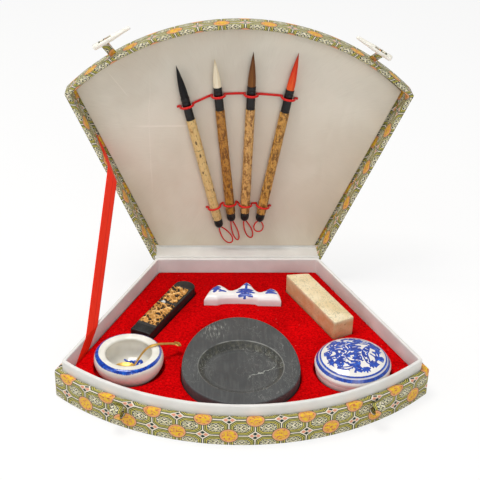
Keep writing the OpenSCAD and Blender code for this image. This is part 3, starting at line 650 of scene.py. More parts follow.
def group(name, inputs, outputs):
    """Makes a shared node group from the function below it, which gets the inputs by
    name and returns the outputs by name."""
    def made(build):
        tree = bpy.data.node_groups.new(name, "ShaderNodeTree")
        for label, value in inputs.items():
            kind = "NodeSocketVector" if value is None else "NodeSocketFloat"
            socket = tree.interface.new_socket(label, in_out="INPUT", socket_type=kind)
            if value is not None:
                socket.default_value = value
        for label in outputs:
            kind = "NodeSocketColor" if label == "Colour" else "NodeSocketFloat"
            tree.interface.new_socket(label, in_out="OUTPUT", socket_type=kind)
        start, end = add(tree, "NodeGroupInput"), add(tree, "NodeGroupOutput")
        given = {label: Wire(tree, start.outputs[label]) for label in inputs}
        for label, wire in build(Shade(tree), given).items():
            feed(tree, end.inputs[label], wire)
        groups[name] = tree
    return made


@group("weave", {"Vector": None, "Threads": 2500.0}, ["Height", "Tone"])
def weave(s, given):
    """Plain weave: warp and weft as crossed sine waves, with uneven threads."""
    x, y, _ = s.split(given["Vector"])
    k = given["Threads"]
    warp, weft = (x * k * 6.283).sin(), (y * k * 6.283).sin()
    over = (warp * weft).rise(0, 1.4)
    uneven = s.noise(s.join(x * 900, y * 60), 1.0, 1.0)
    return {"Height": over, "Tone": over * 0.5 + uneven * 0.5}


@group("specks", {"Vector": None, "Scale": 300.0, "Share": 0.1, "Size": 0.2}, ["Mask"])
def specks(s, given):
    """Small scattered dots: cells whose own random number is under the share."""
    gap, colour = s.cells(given["Vector"], given["Scale"])
    chance, _, _ = s.split(colour)
    near = (given["Size"] - gap) * 12
    return {"Mask": near.do("MULTIPLY", 1.0, clamp=True) * chance.do("LESS_THAN", given["Share"])}


@group("streaks", {"Vector": None, "Across": 2000.0, "Along": 40.0}, ["Value"])
def streaks(s, given):
    """Fine uneven lines along v: noise squeezed across u."""
    x, y, z = s.split(given["Vector"])
    vector = s.join(x * given["Across"], y * given["Along"], z * given["Across"])
    return {"Value": s.noise(vector, 1.0, 3.0, 0.6)}


@group("painted", {"Distance": 9.0, "Vector": None}, ["Mask", "Wash"])
def painted(s, given):
    """Cobalt from a signed distance in millimetres: a soft edge and a patchy wash."""
    waver = (s.noise(given["Vector"], 900.0, 2.0) - 0.5) * 0.5
    edge = (given["Distance"] + waver).fall(0.0, 0.22)
    return {"Mask": edge, "Wash": s.noise(given["Vector"], 420.0, 3.0, 0.6)}


@group("brocade", {"Vector": None}, ["Colour", "Height", "Shine"])
def brocade(s, given):
    """Octagon lattice: cells of 20 x 15.3 mm whose corners are cut off.

    Bands follow each octagon's edge by distance, and the corners hold in turn an oval
    and a check of two diamonds and two squares. Inside is a curled leaf motif.
    """
    wide, tall = 20.0, 15.3
    u, v, _ = s.split(given["Vector"])
    wave = s.noise(given["Vector"], 260.0, 2.0) - 0.5
    cx, cy = (u * 1000 + wave * 0.5) / wide, (v * 1000 - wave * 0.5) / tall
    rx, ry = cx.do("ROUND"), cy.do("ROUND")
    kx, ky = abs(cx - rx) * wide, abs(cy - ry) * tall
    odd_corner = (rx + ry).do("FLOORED_MODULO", 2.0)
    fx, fy = cx.do("FLOOR"), cy.do("FLOOR")
    dx, dy = (cx - fx - 0.5) * wide, (cy - fy - 0.5) * tall
    odd_cell = (fx + fy).do("FLOORED_MODULO", 2.0)
    cut = (kx / 5.2 + ky / 4.0 - 1) * 3.17
    edge = kx.least(ky).least(cut)
    upright = (edge - kx).rise(-0.02, 0.04)

    # Leaf motif: the zero line of crossed, bent sine waves, turned round in every other cell
    sx = dx * (1 - odd_cell * 2)
    ax = abs(dx) * (1 - odd_cell) + sx * dy.do("SIGN") * odd_cell
    one = (ax * 0.95 + (dy * 1.0).sin() * 1.5).sin() * (dy * 1.25 + (ax * 0.9).sin() * 1.4).sin()
    stroke = abs(one - 0.05).fall(0.2, 0.06)
    inner = s.layers(s.mix(wave.rise(0.0, 0.3), "faf4dc", "e9e2b8"),
                     (one.fall(-0.7, 0.1), "a9a860"), (stroke, "0c140e"))
    colour = s.layers(
        inner,
        (edge.fall(3.75, 0.1), "1a2812"), (edge.fall(3.2, 0.1), "f6e66a"),
        (edge.fall(2.6, 0.1), "0e1c14"), (edge.fall(1.95, 0.1), "d0cc6a"),
        (edge.fall(1.3, 0.1), "0c1c18"), (edge.fall(1.3, 0.1) * upright, "04222a"),
        (edge.fall(0.5, 0.12), "faf2de"))

    # Corners
    tilt = kx / 5.2 - ky / 4.0
    check = s.layers(s.mix(tilt.rise(0, 0.04), "0e2a2c", "f0a184"),
                     (abs(tilt).fall(0.1, 0.06), "f4ead2"), (cut.rise(-0.5, 0.15), "f6ecd4"))
    colour = s.mix(cut.fall(0.0, 0.08) * odd_corner, colour, check)
    ring = ((kx / 6.9) * (kx / 6.9) + (ky / 6.2) * (ky / 6.2)).do("SQRT")
    gold = s.noise(s.mapped(given["Vector"], (0.6, 1, 1)), 620.0, 3.0, 0.7)
    oval = s.layers("f2a264", (gold.rise(0.49, 0.06) * ring.fall(0.78, 0.15), "fbd01c"),
                    (gold.fall(0.42, 0.06), "c8682e"), (ring.rise(0.84, 0.1), "f2ab7e"))
    even = 1 - odd_corner
    colour = s.layers(colour, (ring.band(0.98, 1.06, 0.04) * even, "343c22"),
                      (ring.fall(1.0, 0.03) * even, oval))
    cloth = s.use("weave", Vector=given["Vector"], Threads=1900.0)
    colour = s.mix(0.4, colour, s.mix(cloth["Tone"], "808080", "ffffff"), kind="MULTIPLY")
    raised = edge.rise(0.4, 0.3) * 0.3 + stroke * 0.3
    return {"Colour": colour, "Height": cloth["Height"] * 0.6 + raised,
            "Shine": 0.62 - cloth["Tone"] * 0.2}


# Materials

def material(name, bump=None, **plain):
    """Makes a material from the function below it, which returns wires for the shader's
    inputs and a height for the bump. plain sets the shader's own sockets."""
    def made(build):
        look = bpy.data.materials.new(name)
        look.use_nodes = True
        tree = look.node_tree
        tree.nodes.clear()
        out, shader = add(tree, "ShaderNodeOutputMaterial"), add(tree, "ShaderNodeBsdfPrincipled")
        tree.links.new(shader.outputs[0], out.inputs["Surface"])
        for key, value in plain.items():
            slot = shader.inputs[key.replace("_", " ")]
            slot.default_value = rgb(value) if isinstance(value, str) else value
        made_of = build(Shade(tree))
        height = made_of.pop("Height", None)
        for key, wire in made_of.items():
            feed(tree, shader.inputs[key], wire)
        if height is not None:
            node = add(tree, "ShaderNodeBump")
            node.inputs["Strength"].default_value = bump[0]
            node.inputs["Distance"].default_value = bump[1] * MM
            feed(tree, node.inputs["Height"], height)
            tree.links.new(node.outputs[0], shader.inputs["Normal"])
        looks[name] = look
        return build
    return made


looks = {}


@material("brocade", bump=(0.5, 0.25), Sheen_Weight=0.05, Sheen_Roughness=0.4,
          Specular_IOR_Level=0.3)
def brocade_look(s):
    """Brocade: the lattice group's colour, thread height and shine on the cloth's UV."""
    cloth = s.use("brocade", Vector=s.where())
    return {"Base Color": cloth["Colour"], "Roughness": cloth["Shine"], "Height": cloth["Height"]}


@material("paper", bump=(0.25, 0.15), Specular_IOR_Level=0.3)
def paper_look(s):
    """White lining paper: faint fibres, cloudy tone and a little grey painted shade in the dips.
    """
    at = s.where("Object")
    cloud, fibre = s.noise(at, 45.0, 3.0), s.noise(at, 1500.0, 3.0, 0.7)
    colour = s.mix(cloud.rise(0.5, 0.6), "d5d3cf", "e9e8e4")
    # Painted shade: grey where the fibre bump dips
    colour = s.mix(fibre.fall(0.36, 0.1) * 0.25, colour, "c9bfb8")
    return {"Base Color": colour, "Roughness": 0.62 + cloud * 0.2, "Height": fibre}


@material("velvet", bump=(0.9, 0.9), Sheen_Weight=0.04, Sheen_Roughness=0.5,
          Sheen_Tint="ff2010", Specular_IOR_Level=0.02)
def velvet_look(s):
    """Short red pile: rubbed patches, fine fuzz, scattered lint, and painted shade that darkens it
    towards the back, under the open lid.
    """
    at = s.where("Object")
    rubbed = s.noise(at, 38.0, 3.0, 0.55, 0.6)
    tufts = s.noise(at, 480.0, 3.0, 0.75, 0.5)
    fuzz = s.noise(at, 1500.0, 2.0, 0.8)
    colour = s.mix(rubbed.rise(0.5, 0.4), "b60004", "de0208")
    _, back, _ = s.split(at)
    colour = s.mix(tufts.rise(0.58, 0.16) * 0.6, colour, "f4080c")
    colour = s.mix(tufts.fall(0.43, 0.16) * 0.65, colour, "7a0002")
    colour = s.mix(fuzz.rise(0.6, 0.2) * 0.5, colour, "e81414")
    lint = s.use("specks", Vector=s.mapped(at, (1, 1.6, 1), turned=(0, 0, 30)), Scale=210.0,
                 Share=0.1, Size=0.14)["Mask"]
    colour = s.mix(lint * 0.75, colour, "f4766c")
    # Painted shade: darker red towards the back, where the open lid shades the velvet
    colour = s.mix(back.rise(0.06, 0.12) * 0.4, colour, "5a0002")
    return {"Base Color": colour, "Roughness": 0.85 + rubbed * 0.1,
            "Height": fuzz * 0.5 + tufts + lint * 0.5}


@material("satin", bump=(0.3, 0.3), Sheen_Weight=0.1, Sheen_Roughness=0.3,
          Specular_IOR_Level=0.35, Anisotropic=0.5)
def satin_look(s):
    """Warm grey satin: soft clouds of tone, fine upright threads, light creases that are painted
    highlight over bumped folds, a lower part warmed by painted red bounce light, and painted shade
    on its tucked edge.
    """
    at = s.where("Object")
    cloud = s.noise(at, 16.0, 3.0, 0.5, 0.4)
    thread = s.use("streaks", Vector=s.where(), Across=2600.0, Along=70.0)["Value"]
    x, _, z = s.split(at)
    waver = (cloud - 0.5) * 0.006
    fold_and_highlight = abs(z - 0.151 + waver).fall(0.0006, 0.0014) * x.band(-0.088, -0.04, 0.012)
    fold_and_highlight = fold_and_highlight.most(abs(x + 0.078 + waver).fall(0.0003, 0.0008) * z.band(0.09, 0.19, 0.03) * 0.5)
    fold_and_highlight = fold_and_highlight.most(abs(x + z * 0.75 - 0.036 + waver).fall(0.0003, 0.0009)
                     * z.band(0.178, 0.2, 0.006) * 0.7)
    middle = (abs(x) * 9).fall(0.9, 1.2) * z.fall(0.19, 0.14)
    # Painted red bounce light from the velvet: warmer low on the panel, greyer above
    colour = s.mix(z.rise(0.13, 0.2), "d5c6b1", "dad7c9")
    colour = s.mix(cloud.rise(0.56, 0.25) * 0.5, colour, "e6dfd0")
    colour = s.mix(cloud.fall(0.42, 0.2) * 0.3, colour, "c3b5a2")
    # Painted highlight: the creases drawn lighter than the satin
    colour = s.mix(fold_and_highlight * 0.6, colour, "f4ece0")
    colour = s.mix(thread.fall(0.42, 0.2) * 0.15, colour, "a99b88")
    # Painted shade: dark brown on the satin's edge where it tucks into the corner by the lid's
    # wall
    colour = s.mix(s.field("edge"), s.mix(middle * 0.25, colour, "dccfbd"), "3c2c20")
    return {"Base Color": colour, "Roughness": 0.42 + thread * 0.2,
            "Height": thread * 0.25 + fold_and_highlight * 0.5 + cloud}


@material("ribbon", bump=(0.3, 0.12), Sheen_Weight=0.05, Sheen_Roughness=0.3,
          Specular_IOR_Level=0.2, Anisotropic=0.5)
def ribbon_look(s):
    """Red satin ribbon: threads along it, with a woven edge."""
    at = s.where()
    x, _, _ = s.split(at)
    thread = s.use("streaks", Vector=at, Across=2400.0, Along=90.0)["Value"]
    colour = s.mix(thread.rise(0.5, 0.5), "ee1c0c", "ff4022")
    edge = abs(x - 0.0135).rise(0.0062, 0.0006) * abs(x - 0.0135).fall(0.0068, 0.0006)
    return {"Base Color": s.mix(edge * 0.5, colour, "a80a0a"), "Roughness": 0.34 + thread * 0.2,
            "Height": thread}


@material("red_cord", bump=(0.6, 0.2), Sheen_Weight=0.05, Sheen_Roughness=0.3,
          Specular_IOR_Level=0.3)
def cord_look(s):
    """Round red cord: strands that wind about it, seen as slanted ridges, with painted shade in
    the grooves and painted highlight on the ridges.
    """
    at = s.where()
    x, y, _ = s.split(at)
    strand = (x * 1950 + y * 5200).sin()
    # Painted shade and highlight: darker red in the grooves between strands, lighter on the ridges
    colour = s.mix(strand.rise(0.0, 1.6), "b0080c", "ea2018")
    tone = s.noise(s.where("Object"), 240.0, 2.0)
    return {"Base Color": s.mix(tone.rise(0.6, 0.3) * 0.4, colour, "f0483c"),
            "Roughness": 0.42 + tone * 0.2, "Height": strand * 0.5}


@material("bone", bump=(0.1, 0.1), Coat_Weight=0.3, Coat_Roughness=0.15)
def bone_look(s):
    """Bone: cream and white by a noise drawn fine along Z."""
    at = s.where("Object")
    grain = s.noise(s.mapped(at, (1, 1, 4)), 160.0, 3.0)
    return {"Base Color": s.mix(grain.rise(0.5, 0.4), "e6e1d2", "f6f4ec"),
            "Roughness": 0.26 + grain * 0.12, "Height": grain}


def bamboo(name, pale, base, dark, spots):
    """Varnished bamboo: long fibres, a burnt mottle, dabs and darker growth rings.

    spots are the mottle's scale, the noise above which it is burnt, its halo's colour, and
    the share of cells that hold a dab. A handle's v starts over its end, 4 mm behind.
    """
    @material(name, bump=(0.35, 0.12), Specular_IOR_Level=0.3, Coat_Weight=0.12,
              Coat_Roughness=0.18)
    def look(s):
        at = s.where()
        _, y, _ = s.split(at)
        fibre = s.use("streaks", Vector=at, Across=3600.0, Along=60.0)["Value"]
        blot = s.noise(s.mapped(at, (1, 0.62, 1)), spots[0], 4.0, 0.62, 0.9)
        fleck = s.noise(s.mapped(at, (1, 0.5, 1), (3, 1, 0)), spots[0] * 2.6, 3.0, 0.6)
        dab = s.use("specks", Vector=s.mapped(at, (1, 0.5, 1), turned=(0, 0, 35)),
                    Scale=spots[0] * 1.1, Share=spots[3], Size=0.3)["Mask"]
        colour = s.mix(fibre.rise(0.5, 0.35), base, pale)
        burn = blot.rise(spots[1], 0.09)
        halo = blot.rise(spots[1] - 0.06, 0.09)
        colour = s.layers(colour, (halo * 0.6, spots[2]), (burn * 0.7, dark),
                          (fleck.rise(0.6, 0.07) * 0.45, dark), (dab * 0.8, dark))
        mark = None
        for knot in KNOTS:
            near = abs(y - (knot - 4) * MM).fall(0.00045, 0.0004)
            mark = near if mark is None else mark.most(near)
        colour = s.mix(mark * 0.25, colour, dark)
        return {"Base Color": colour, "Roughness": 0.3 + burn * 0.2,
                "Height": fibre * 0.5 + burn * 0.4}
    return look


bamboo("bamboo_pale", "e2c68c", "cfa964", "2e1a0c", (250.0, 0.67, "b8843c", 0.3))
bamboo("bamboo_brown", "c48c36", "a46c22", "5c340e", (330.0, 0.56, "7c4a18", 0.06))
bamboo("bamboo_tan", "e0b470", "c8944c", "663a14", (360.0, 0.57, "946028", 0.08))
bamboo("bamboo_gold", "d6a450", "bc8438", "50300e", (330.0, 0.56, "84541c", 0.08))


@material("horn", bump=(0.2, 0.1), Specular_IOR_Level=0.3, Coat_Weight=0.12,
          Coat_Roughness=0.12)
def horn_look(s):
    """Black horn with a few brown streaks along it."""
    at = s.where()
    streak = s.use("streaks", Vector=at, Across=900.0, Along=60.0)["Value"]
    return {"Base Color": s.mix(streak.rise(0.62, 0.2), "0a090a", "241e1a"),
            "Roughness": 0.26 + streak * 0.15, "Height": streak}


def hair(name, root, middle, tip, glint, sheen=0.03):
    """Brush hair: fine strands along it, from the root's colour to the tip's."""
    @material(name, bump=(0.8, 0.25), Sheen_Weight=sheen, Sheen_Roughness=0.35,
              Specular_IOR_Level=0.25)
    def look(s):
        at = s.where()
        strand = s.use("streaks", Vector=at, Across=5200.0, Along=45.0)["Value"]
        broad = s.use("streaks", Vector=at, Across=1100.0, Along=25.0)["Value"]
        part = s.field("along")
        colour = s.mix(part.rise(0.3, 0.5), root, middle)
        colour = s.mix(part.rise(0.86, 0.22), colour, tip)
        colour = s.mix(broad.rise(0.55, 0.2) * 0.45, colour, glint)
        colour = s.mix(strand.fall(0.45, 0.2) * 0.5, colour, tip)
        return {"Base Color": colour, "Roughness": 0.4 + strand * 0.25, "Height": strand}
    return look


hair("black_hair", "0c0c0d", "08080a", "050506", "222226")
hair("white_hair", "efe4c8", "ecdfc2", "d2bd94", "fbf4e0")
hair("brown_hair", "7a4a1e", "6b3c18", "2e1a0c", "a8702e")
hair("red_hair", "f0561c", "de2c0e", "8c0806", "ff8a48")


@material("slate", bump=(0.45, 0.25), Specular_IOR_Level=0.35)
def slate_look(s):
    """Rubbed slate: brushed tone, painted shade and dust on the well's wall, and pale scratches.
    """
    at = s.where("Object")
    x, y, _ = s.split(s.mapped(at, place=(0.0016, 0.0506, 0)))
    cloud = s.noise(at, 30.0, 4.0, 0.6)
    grain = s.noise(at, 1100.0, 3.0, 0.7)
    brushed = s.noise(s.mapped(at, (1, 0.12, 1)), 420.0, 3.0, 0.6)
    colour = s.mix(cloud.rise(0.5, 0.4), "404243", "4f5152")
    colour = s.mix(brushed.rise(0.58, 0.2) * 0.22, colour, "6c6e6c")
    # The well: a wall darkened by painted shade that shows most at the back, dust on it, and a
    # rubbed bright rim
    far = (x * x + y * y).do("SQRT")
    lip = far - y * 0.062
    dust = s.noise(at, 300.0, 4.0, 0.7)
    wall = far.rise(0.0302, 0.0012) * lip.fall(0.0341, 0.0006)
    # Painted shade on the well's wall, deepest at the back
    colour = s.mix(wall * (y.rise(0.0, 0.05) * 0.45 + 0.35), colour, "2c2c28")
    colour = s.mix(wall * dust.rise(0.54, 0.2) * 0.35, colour, "6a6854")
    floor_ring = far.band(0.0262, 0.0268, 0.0006) * dust.rise(0.45, 0.2)
    colour = s.mix(floor_ring * 0.3, colour, "7c7d78")
    bright = lip.band(0.0340, 0.0346, 0.0005) * s.noise(at, 90.0, 3.0).rise(0.42, 0.16)
    colour = s.mix(bright * 0.6, colour, "9fa09a")
    shade = far.band(0.0285, 0.0303, 0.0012)
    colour = s.mix(shade * 0.35, colour, "33332f")
    # Fine scratches: thin level lines of stretched noise, thick in the worn places
    worn = s.noise(at, 22.0, 2.0).rise(0.5, 0.12)
    fields = s.noise(s.mapped(at, (1, 0.5, 1), turned=(0, 0, 25)), 150.0, 4.0, 0.65, 0.8)
    rim = far.band(0.0285, 0.0335, 0.003) * 0.7
    scratch = abs(fields - 0.5).fall(0.006, 0.008) * (worn * 0.5 + rim * 0.5)
    # A patch of pale pitting at the back left, and one long wandering scratch on the right
    pits = s.noise(s.mapped(at, (1, 0.16, 1)), 900.0, 3.0, 0.7).rise(0.57, 0.08) * 0.6
    there = ((x + 0.021) * (x + 0.021) * 1.6 + (y - 0.052) * (y - 0.052)).fall(0.00022, 0.00022)
    wander = (s.noise(at, 190.0, 3.0, 0.6) - 0.5) * 0.012
    line = abs(y + 0.006 - x * 0.62 + 0.0065 + wander).fall(0.00045, 0.0005)
    line = line * x.band(0.006, 0.0275, 0.004)
    pale = (scratch * 0.8).most(pits * there).most(line)
    colour = s.mix(pale * 0.75, colour, "b9bcb4")
    return {"Base Color": colour, "Roughness": 0.62 - brushed * 0.15 + pale * 0.1,
            "Height": grain * 0.35 + cloud * 0.5 + pale * 0.4}


@material("ink", bump=(0.4, 0.2), Specular_IOR_Level=0.35, Coat_Weight=0.05,
          Coat_Roughness=0.35)
def ink_look(s):
    """Pressed ink: clouds of near black, with pale grains."""
    at = s.where("Object")
    cloud, grain = s.noise(at, 120.0, 3.0), s.noise(at, 900.0, 2.0)
    colour = s.mix(cloud.rise(0.52, 0.3), "0e0f10", "1d2020")
    return {"Base Color": s.mix(grain.rise(0.66, 0.06) * 0.3, colour, "5b6260"),
            "Roughness": 0.42 + cloud * 0.2, "Height": cloud + grain * 0.4}


@material("gilt", bump=(0.5, 0.2), Specular_IOR_Level=0.5)
def gilt_look(s):
    """Gilt relief: gold, orange and dark by the carved height, with painted shade in the low
    ground and crevices and a painted highlight on the highest points.
    """
    at = s.where("Object")
    gold, height, silver = s.field("gilt"), s.field("height"), s.field("silver")
    tone = s.noise(at, 330.0, 3.0, 0.6)
    fine_ = s.noise(at, 1300.0, 2.0)
    # Painted shade and highlight: the gold darker the lower the relief lies, near black in the
    # crevices, palest on the highest points
    colour = s.mix(height.rise(0.6, 0.5), "5e3c14", "cf9648")
    colour = s.layers(colour, (tone.rise(0.55, 0.2) * 0.5, "d9a058"),
                      (height.rise(1.05, 0.25) * 0.85, "f6cf90"),
                      (height.fall(0.42, 0.25) * 0.95, "140d06"))
    colour = s.layers(s.mix(tone, "17191a", "2a2c2b"), (gold.rise(0.5, 0.2), colour),
                      (silver.rise(0.5, 0.3), "c9ccc8"))
    return {"Base Color": colour, "Metallic": gold.rise(0.5, 0.2) * 0.45,
            "Roughness": 0.4 + tone * 0.15, "Height": fine_ * 0.4 + tone * 0.4}


def porcelain(name, white, shade, blue="0048bc", deep="002a8c"):
    """Glazed porcelain: faint clouds in the white, and cobalt under the glaze."""
    @material(name, bump=(0.06, 0.2), Specular_IOR_Level=0.4, Coat_Weight=0.25,
              Coat_Roughness=0.05)
    def look(s):
        at = s.where("Object")
        cloud = s.noise(at, 90.0, 2.0)
        paint = s.use("painted", Distance=s.field("cobalt"), Vector=at)
        tint = s.mix(paint["Wash"].rise(0.5, 0.25), deep, blue)
        tint = s.mix(paint["Wash"].rise(0.62, 0.12) * 0.7, tint, "2a7ae0")
        body = s.mix(cloud.rise(0.5, 0.5), shade, white)
        pin = s.use("specks", Vector=at, Scale=160.0, Share=0.012, Size=0.09)["Mask"]
        body = s.mix(pin * 0.5, body, "6b5a48")
        return {"Base Color": s.mix(paint["Mask"] * s.field("strength"), body, tint),
                "Roughness": 0.12 + cloud * 0.08, "Height": cloud}
    return look


porcelain("rest_glaze", "f4f3f1", "e6e3e2")
porcelain("dish_glaze", "f2f0e8", "dedbcf")
porcelain("box_glaze", "f3f1ec", "e2ddd6")


@material("soapstone", bump=(0.25, 0.2), Coat_Weight=0.15, Coat_Roughness=0.3,
          Subsurface_Weight=0.08, Subsurface_Radius=(0.002, 0.0015, 0.001))
def soapstone_look(s):
    """Cream soapstone: grey-green veins, warm clouds, tan on the sides below the top face that is
    partly the stone's colour and partly painted shade, and a few brown spots.
    """
    at = s.where("Object")
    cloud = s.noise(at, 60.0, 3.0, 0.6)
    vein = s.noise(s.mapped(at, (1, 0.7, 1), turned=(0, 0, 50)), 130.0, 4.0, 0.6, 1.5)
    line = abs(vein - 0.5).fall(0.012, 0.025)
    # Sides below the top face: warm tan in clouds, partly the stone's colour and partly painted
    # shade
    low = s.split(at)[2].fall(0.0352, 0.004)
    colour = s.mix(cloud.rise(0.5, 0.35), "e0c99a", "f1e4c4")
    colour = s.layers(colour, (line * 0.7, "98997a"),
                      (low * cloud.rise(0.44, 0.3) * 0.8, "cf9c62"))
    spot = s.use("specks", Vector=at, Scale=150.0, Share=0.09, Size=0.17)["Mask"]
    return {"Base Color": s.mix(spot * 0.7, colour, "9a5e34"),
            "Roughness": 0.32 + cloud * 0.18, "Height": cloud * 0.5 + line * 0.4}


@material("brass", bump=(0.2, 0.1), Metallic=0.85)
def brass_look(s):
    """Brass, rubbed brighter in patches."""
    at = s.where("Object")
    rub, fine_ = s.noise(at, 220.0, 3.0), s.noise(at, 1400.0, 2.0)
    return {"Base Color": s.mix(rub.rise(0.5, 0.4), "cf9a3c", "f2cc74"),
            "Roughness": 0.26 + rub * 0.2, "Height": fine_}


@material("paste", bump=(0.4, 0.5), Coat_Weight=0.4, Coat_Roughness=0.25)
def paste_look(s):
    """Seal paste: glossy red lumps."""
    at = s.where("Object")
    lump = s.noise(at, 180.0, 4.0, 0.6)
    return {"Base Color": s.mix(lump, "8e0c10", "c4202a"), "Roughness": 0.35 + lump * 0.25,
            "Height": lump}


# Outlines

def evened(loop, step):
    """A closed outline again with points about a step apart, its corners kept."""
    loop = np.asarray(loop, float)[:, :2]
    ends = np.roll(loop, -1, 0)
    parts = []
    for a, b in zip(loop, ends):
        n = max(1, int(round(np.linalg.norm(b - a) / step)))
        parts.append(a + (b - a) * (np.arange(n) / n)[:, None])
    return np.concatenate(parts)


def grown(loop, by):
    """A counter-clockwise outline pushed out along the mean of its edges' normals."""
    before, after = unit(loop - np.roll(loop, 1, 0)), unit(np.roll(loop, -1, 0) - loop)
    m = unit(np.stack([before[:, 1] + after[:, 1], -before[:, 0] - after[:, 0]], -1))
    reach = np.maximum(0.5, (m * np.stack([before[:, 1], -before[:, 0]], -1)).sum(1))
    return loop + m * (np.broadcast_to(by, len(loop)) / reach)[:, None]


def ring_at(loop, z):
    """A flat outline lifted to z, one value or one for each point."""
    return np.column_stack([loop, np.broadcast_to(z, len(loop))])


def stone_loop(grow=0.0, count=144):
    """Egg shape: half ellipses of one width and two lengths."""
    a = np.arange(count) / count * 2 * math.pi
    reach = np.where(np.sin(a) > 0, STONE_BACK, STONE_FRONT)
    return np.stack([(STONE_W / 2 + grow) * np.cos(a), (reach + grow) * np.sin(a)], -1)


def stick_loop(grow=0.0):
    """Oblong whose far end is half an ellipse 7.5 deep."""
    w, l = STICK_W / 2 + grow, STICK_L / 2 + grow
    a = np.radians(np.arange(0, 181, 9))
    head = np.stack([w * np.cos(a), l - 7.5 + 7.5 * np.sin(a)], -1)
    return np.concatenate([[[-w, -l], [w, -l]], head])


def rest_loop():
    """Outline of the brush rest: three peaks, two feet and the arch between them."""
    w, p = REST_W / 2, REST_PEAK
    top = [[1, 0], [0.98, 0.25], [0.89, 0.54], [0.73, 0.65], [0.56, 0.5], [0.45, 0.43],
           [0.33, 0.58], [0.21, 0.9], [0.11, 1], [0.01, 0.9], [-0.12, 0.65], [-0.31, 0.5],
           [-0.46, 0.68], [-0.62, 0.82], [-0.82, 0.61], [-0.94, 0.26], [-1, 0]]
    top = spline(np.array(top) * [w, p], 6)
    arch = spline([[-0.66 * w, 0], [-0.5 * w, 2.2], [-0.1 * w, 2.9], [0.3 * w, 2.2],
                   [0.42 * w, 0]], 6)
    return np.concatenate([top, arch])


def seal_loop(grow=0.0):
    """Oblong with worn corners, whose far end slants by twice the cut."""
    w, l, cut, e = SEAL_W / 2 + grow, SEAL_L / 2 + grow, 3.1, 1.1
    return np.array([[-w, -l + e], [-w + e, -l], [w - e, -l], [w, -l + e], [w, l - cut - e],
                     [w - e, l - cut], [-w + e, l + cut], [-w, l + cut - e]])


def circle(r, count):
    """Circle of a radius, counter-clockwise."""
    a = np.arange(count) / count * 2 * math.pi
    return np.stack([r * np.cos(a), r * np.sin(a)], -1)


# Laying pieces in the scene

def piece(obj, body, look, slot, *nodes):
    """Gives a piece its finish, its body, and the model's solids that it stands for."""
    obj.data.materials.clear()
    obj.data.materials.append(looks[look])
    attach(obj, body)
    if nodes:
        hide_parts(*nodes)
    return obj


# Cords: the brushes' hanging loops

LOOP_R, LEG_X = 0.6, 0.66


def loop_path(k, steps=56):
    """Drop-shaped loop: over a turn a, y falls by its length times (1 - cos a)/2, x swells
    as sin a times a power of sin a/2, and it lies back on the satin as it falls."""
    length, wide = [19.5, 22.3, 20.5, 11][k], [7.2, 4.4, 5.6, 7.7][k]
    swing, back = math.radians([19.7, 9.5, 20.6, 6.2][k]), [0.4, 3.4, 3.2, 0.3][k]
    sharp = [0.9, 0.9, 0.9, 0.45][k]
    half = np.linspace(0, math.pi, 181)
    widest = (np.sin(half) * np.sin(half / 2) ** sharp).max()
    a = np.linspace(0, 2 * math.pi, steps + 1)
    x = LEG_X * np.cos(a / 2) + wide / 2 * np.sin(a) * np.abs(np.sin(a / 2)) ** sharp / widest
    y = -length * (1 - np.cos(a)) / 2
    t = -y / length
    c, s = math.cos(swing), math.sin(swing)
    loop = np.stack([x * c - y * s, back * t * t * (3 - 2 * t), y * c + x * s], -1)
    return np.concatenate([[[LEG_X, 0, 5.2], [LEG_X, 0, 2.6]], loop,
                           [[-LEG_X, 0, 2.6], [-LEG_X, 0, 5.2]]])


for k, tint in enumerate(BRUSHES):
    path = put(brush_at(k), loop_path(k))
    loop = tube(f"{tint}_brush_loop_cord", path, LOOP_R)
    piece(loop, f"{tint}_brush", "red_cord", "red_cord", f"{tint}_brush_loop")
    (path * MM).tolist()


# Camera, fitted to the case and the lid

yaw, pitch, roll = math.radians(-2.407), math.radians(30.864), 0.0221
CAMERA_AT, FOCAL, SHOT_W, SENSOR = [-35.7372, -788.448, 587.7804], 1157.74, 480, 36
ahead = np.array([-math.sin(yaw) * math.cos(pitch), math.cos(yaw) * math.cos(pitch),
                  -math.sin(pitch)])
right = np.array([math.cos(yaw), math.sin(yaw), 0])
above = np.cross(right, ahead)
camera = bpy.data.objects.new("camera", bpy.data.cameras.new("camera"))
bpy.context.scene.collection.objects.link(camera)
axes = np.stack([right * math.cos(roll) + above * math.sin(roll),
                 above * math.cos(roll) - right * math.sin(roll), -ahead], -1)
pose = np.eye(4)
pose[:3, :3], pose[:3, 3] = axes, np.array(CAMERA_AT) * MM
camera.matrix_world = Matrix(pose.tolist())
camera.data.lens = FOCAL / SHOT_W * SENSOR
bpy.context.scene.camera = camera


# Case

def brocade_uv(rows, row_at, offset):
    """UV of the fan's walls: u along the outline from the front's middle, v up from a
    given row, both moved so that the lattice's ovals fall where they do on the box."""
    uv = metric(rows, around=True)
    back, side, arc = STEPS
    middle = back + side + 2 * len(CORNER_SHARES) + arc // 2
    uv[..., 0] -= uv[0, middle, 0] + offset * MM
    uv[..., 1] = uv[row_at, 0, 1] - uv[..., 1]
    return uv


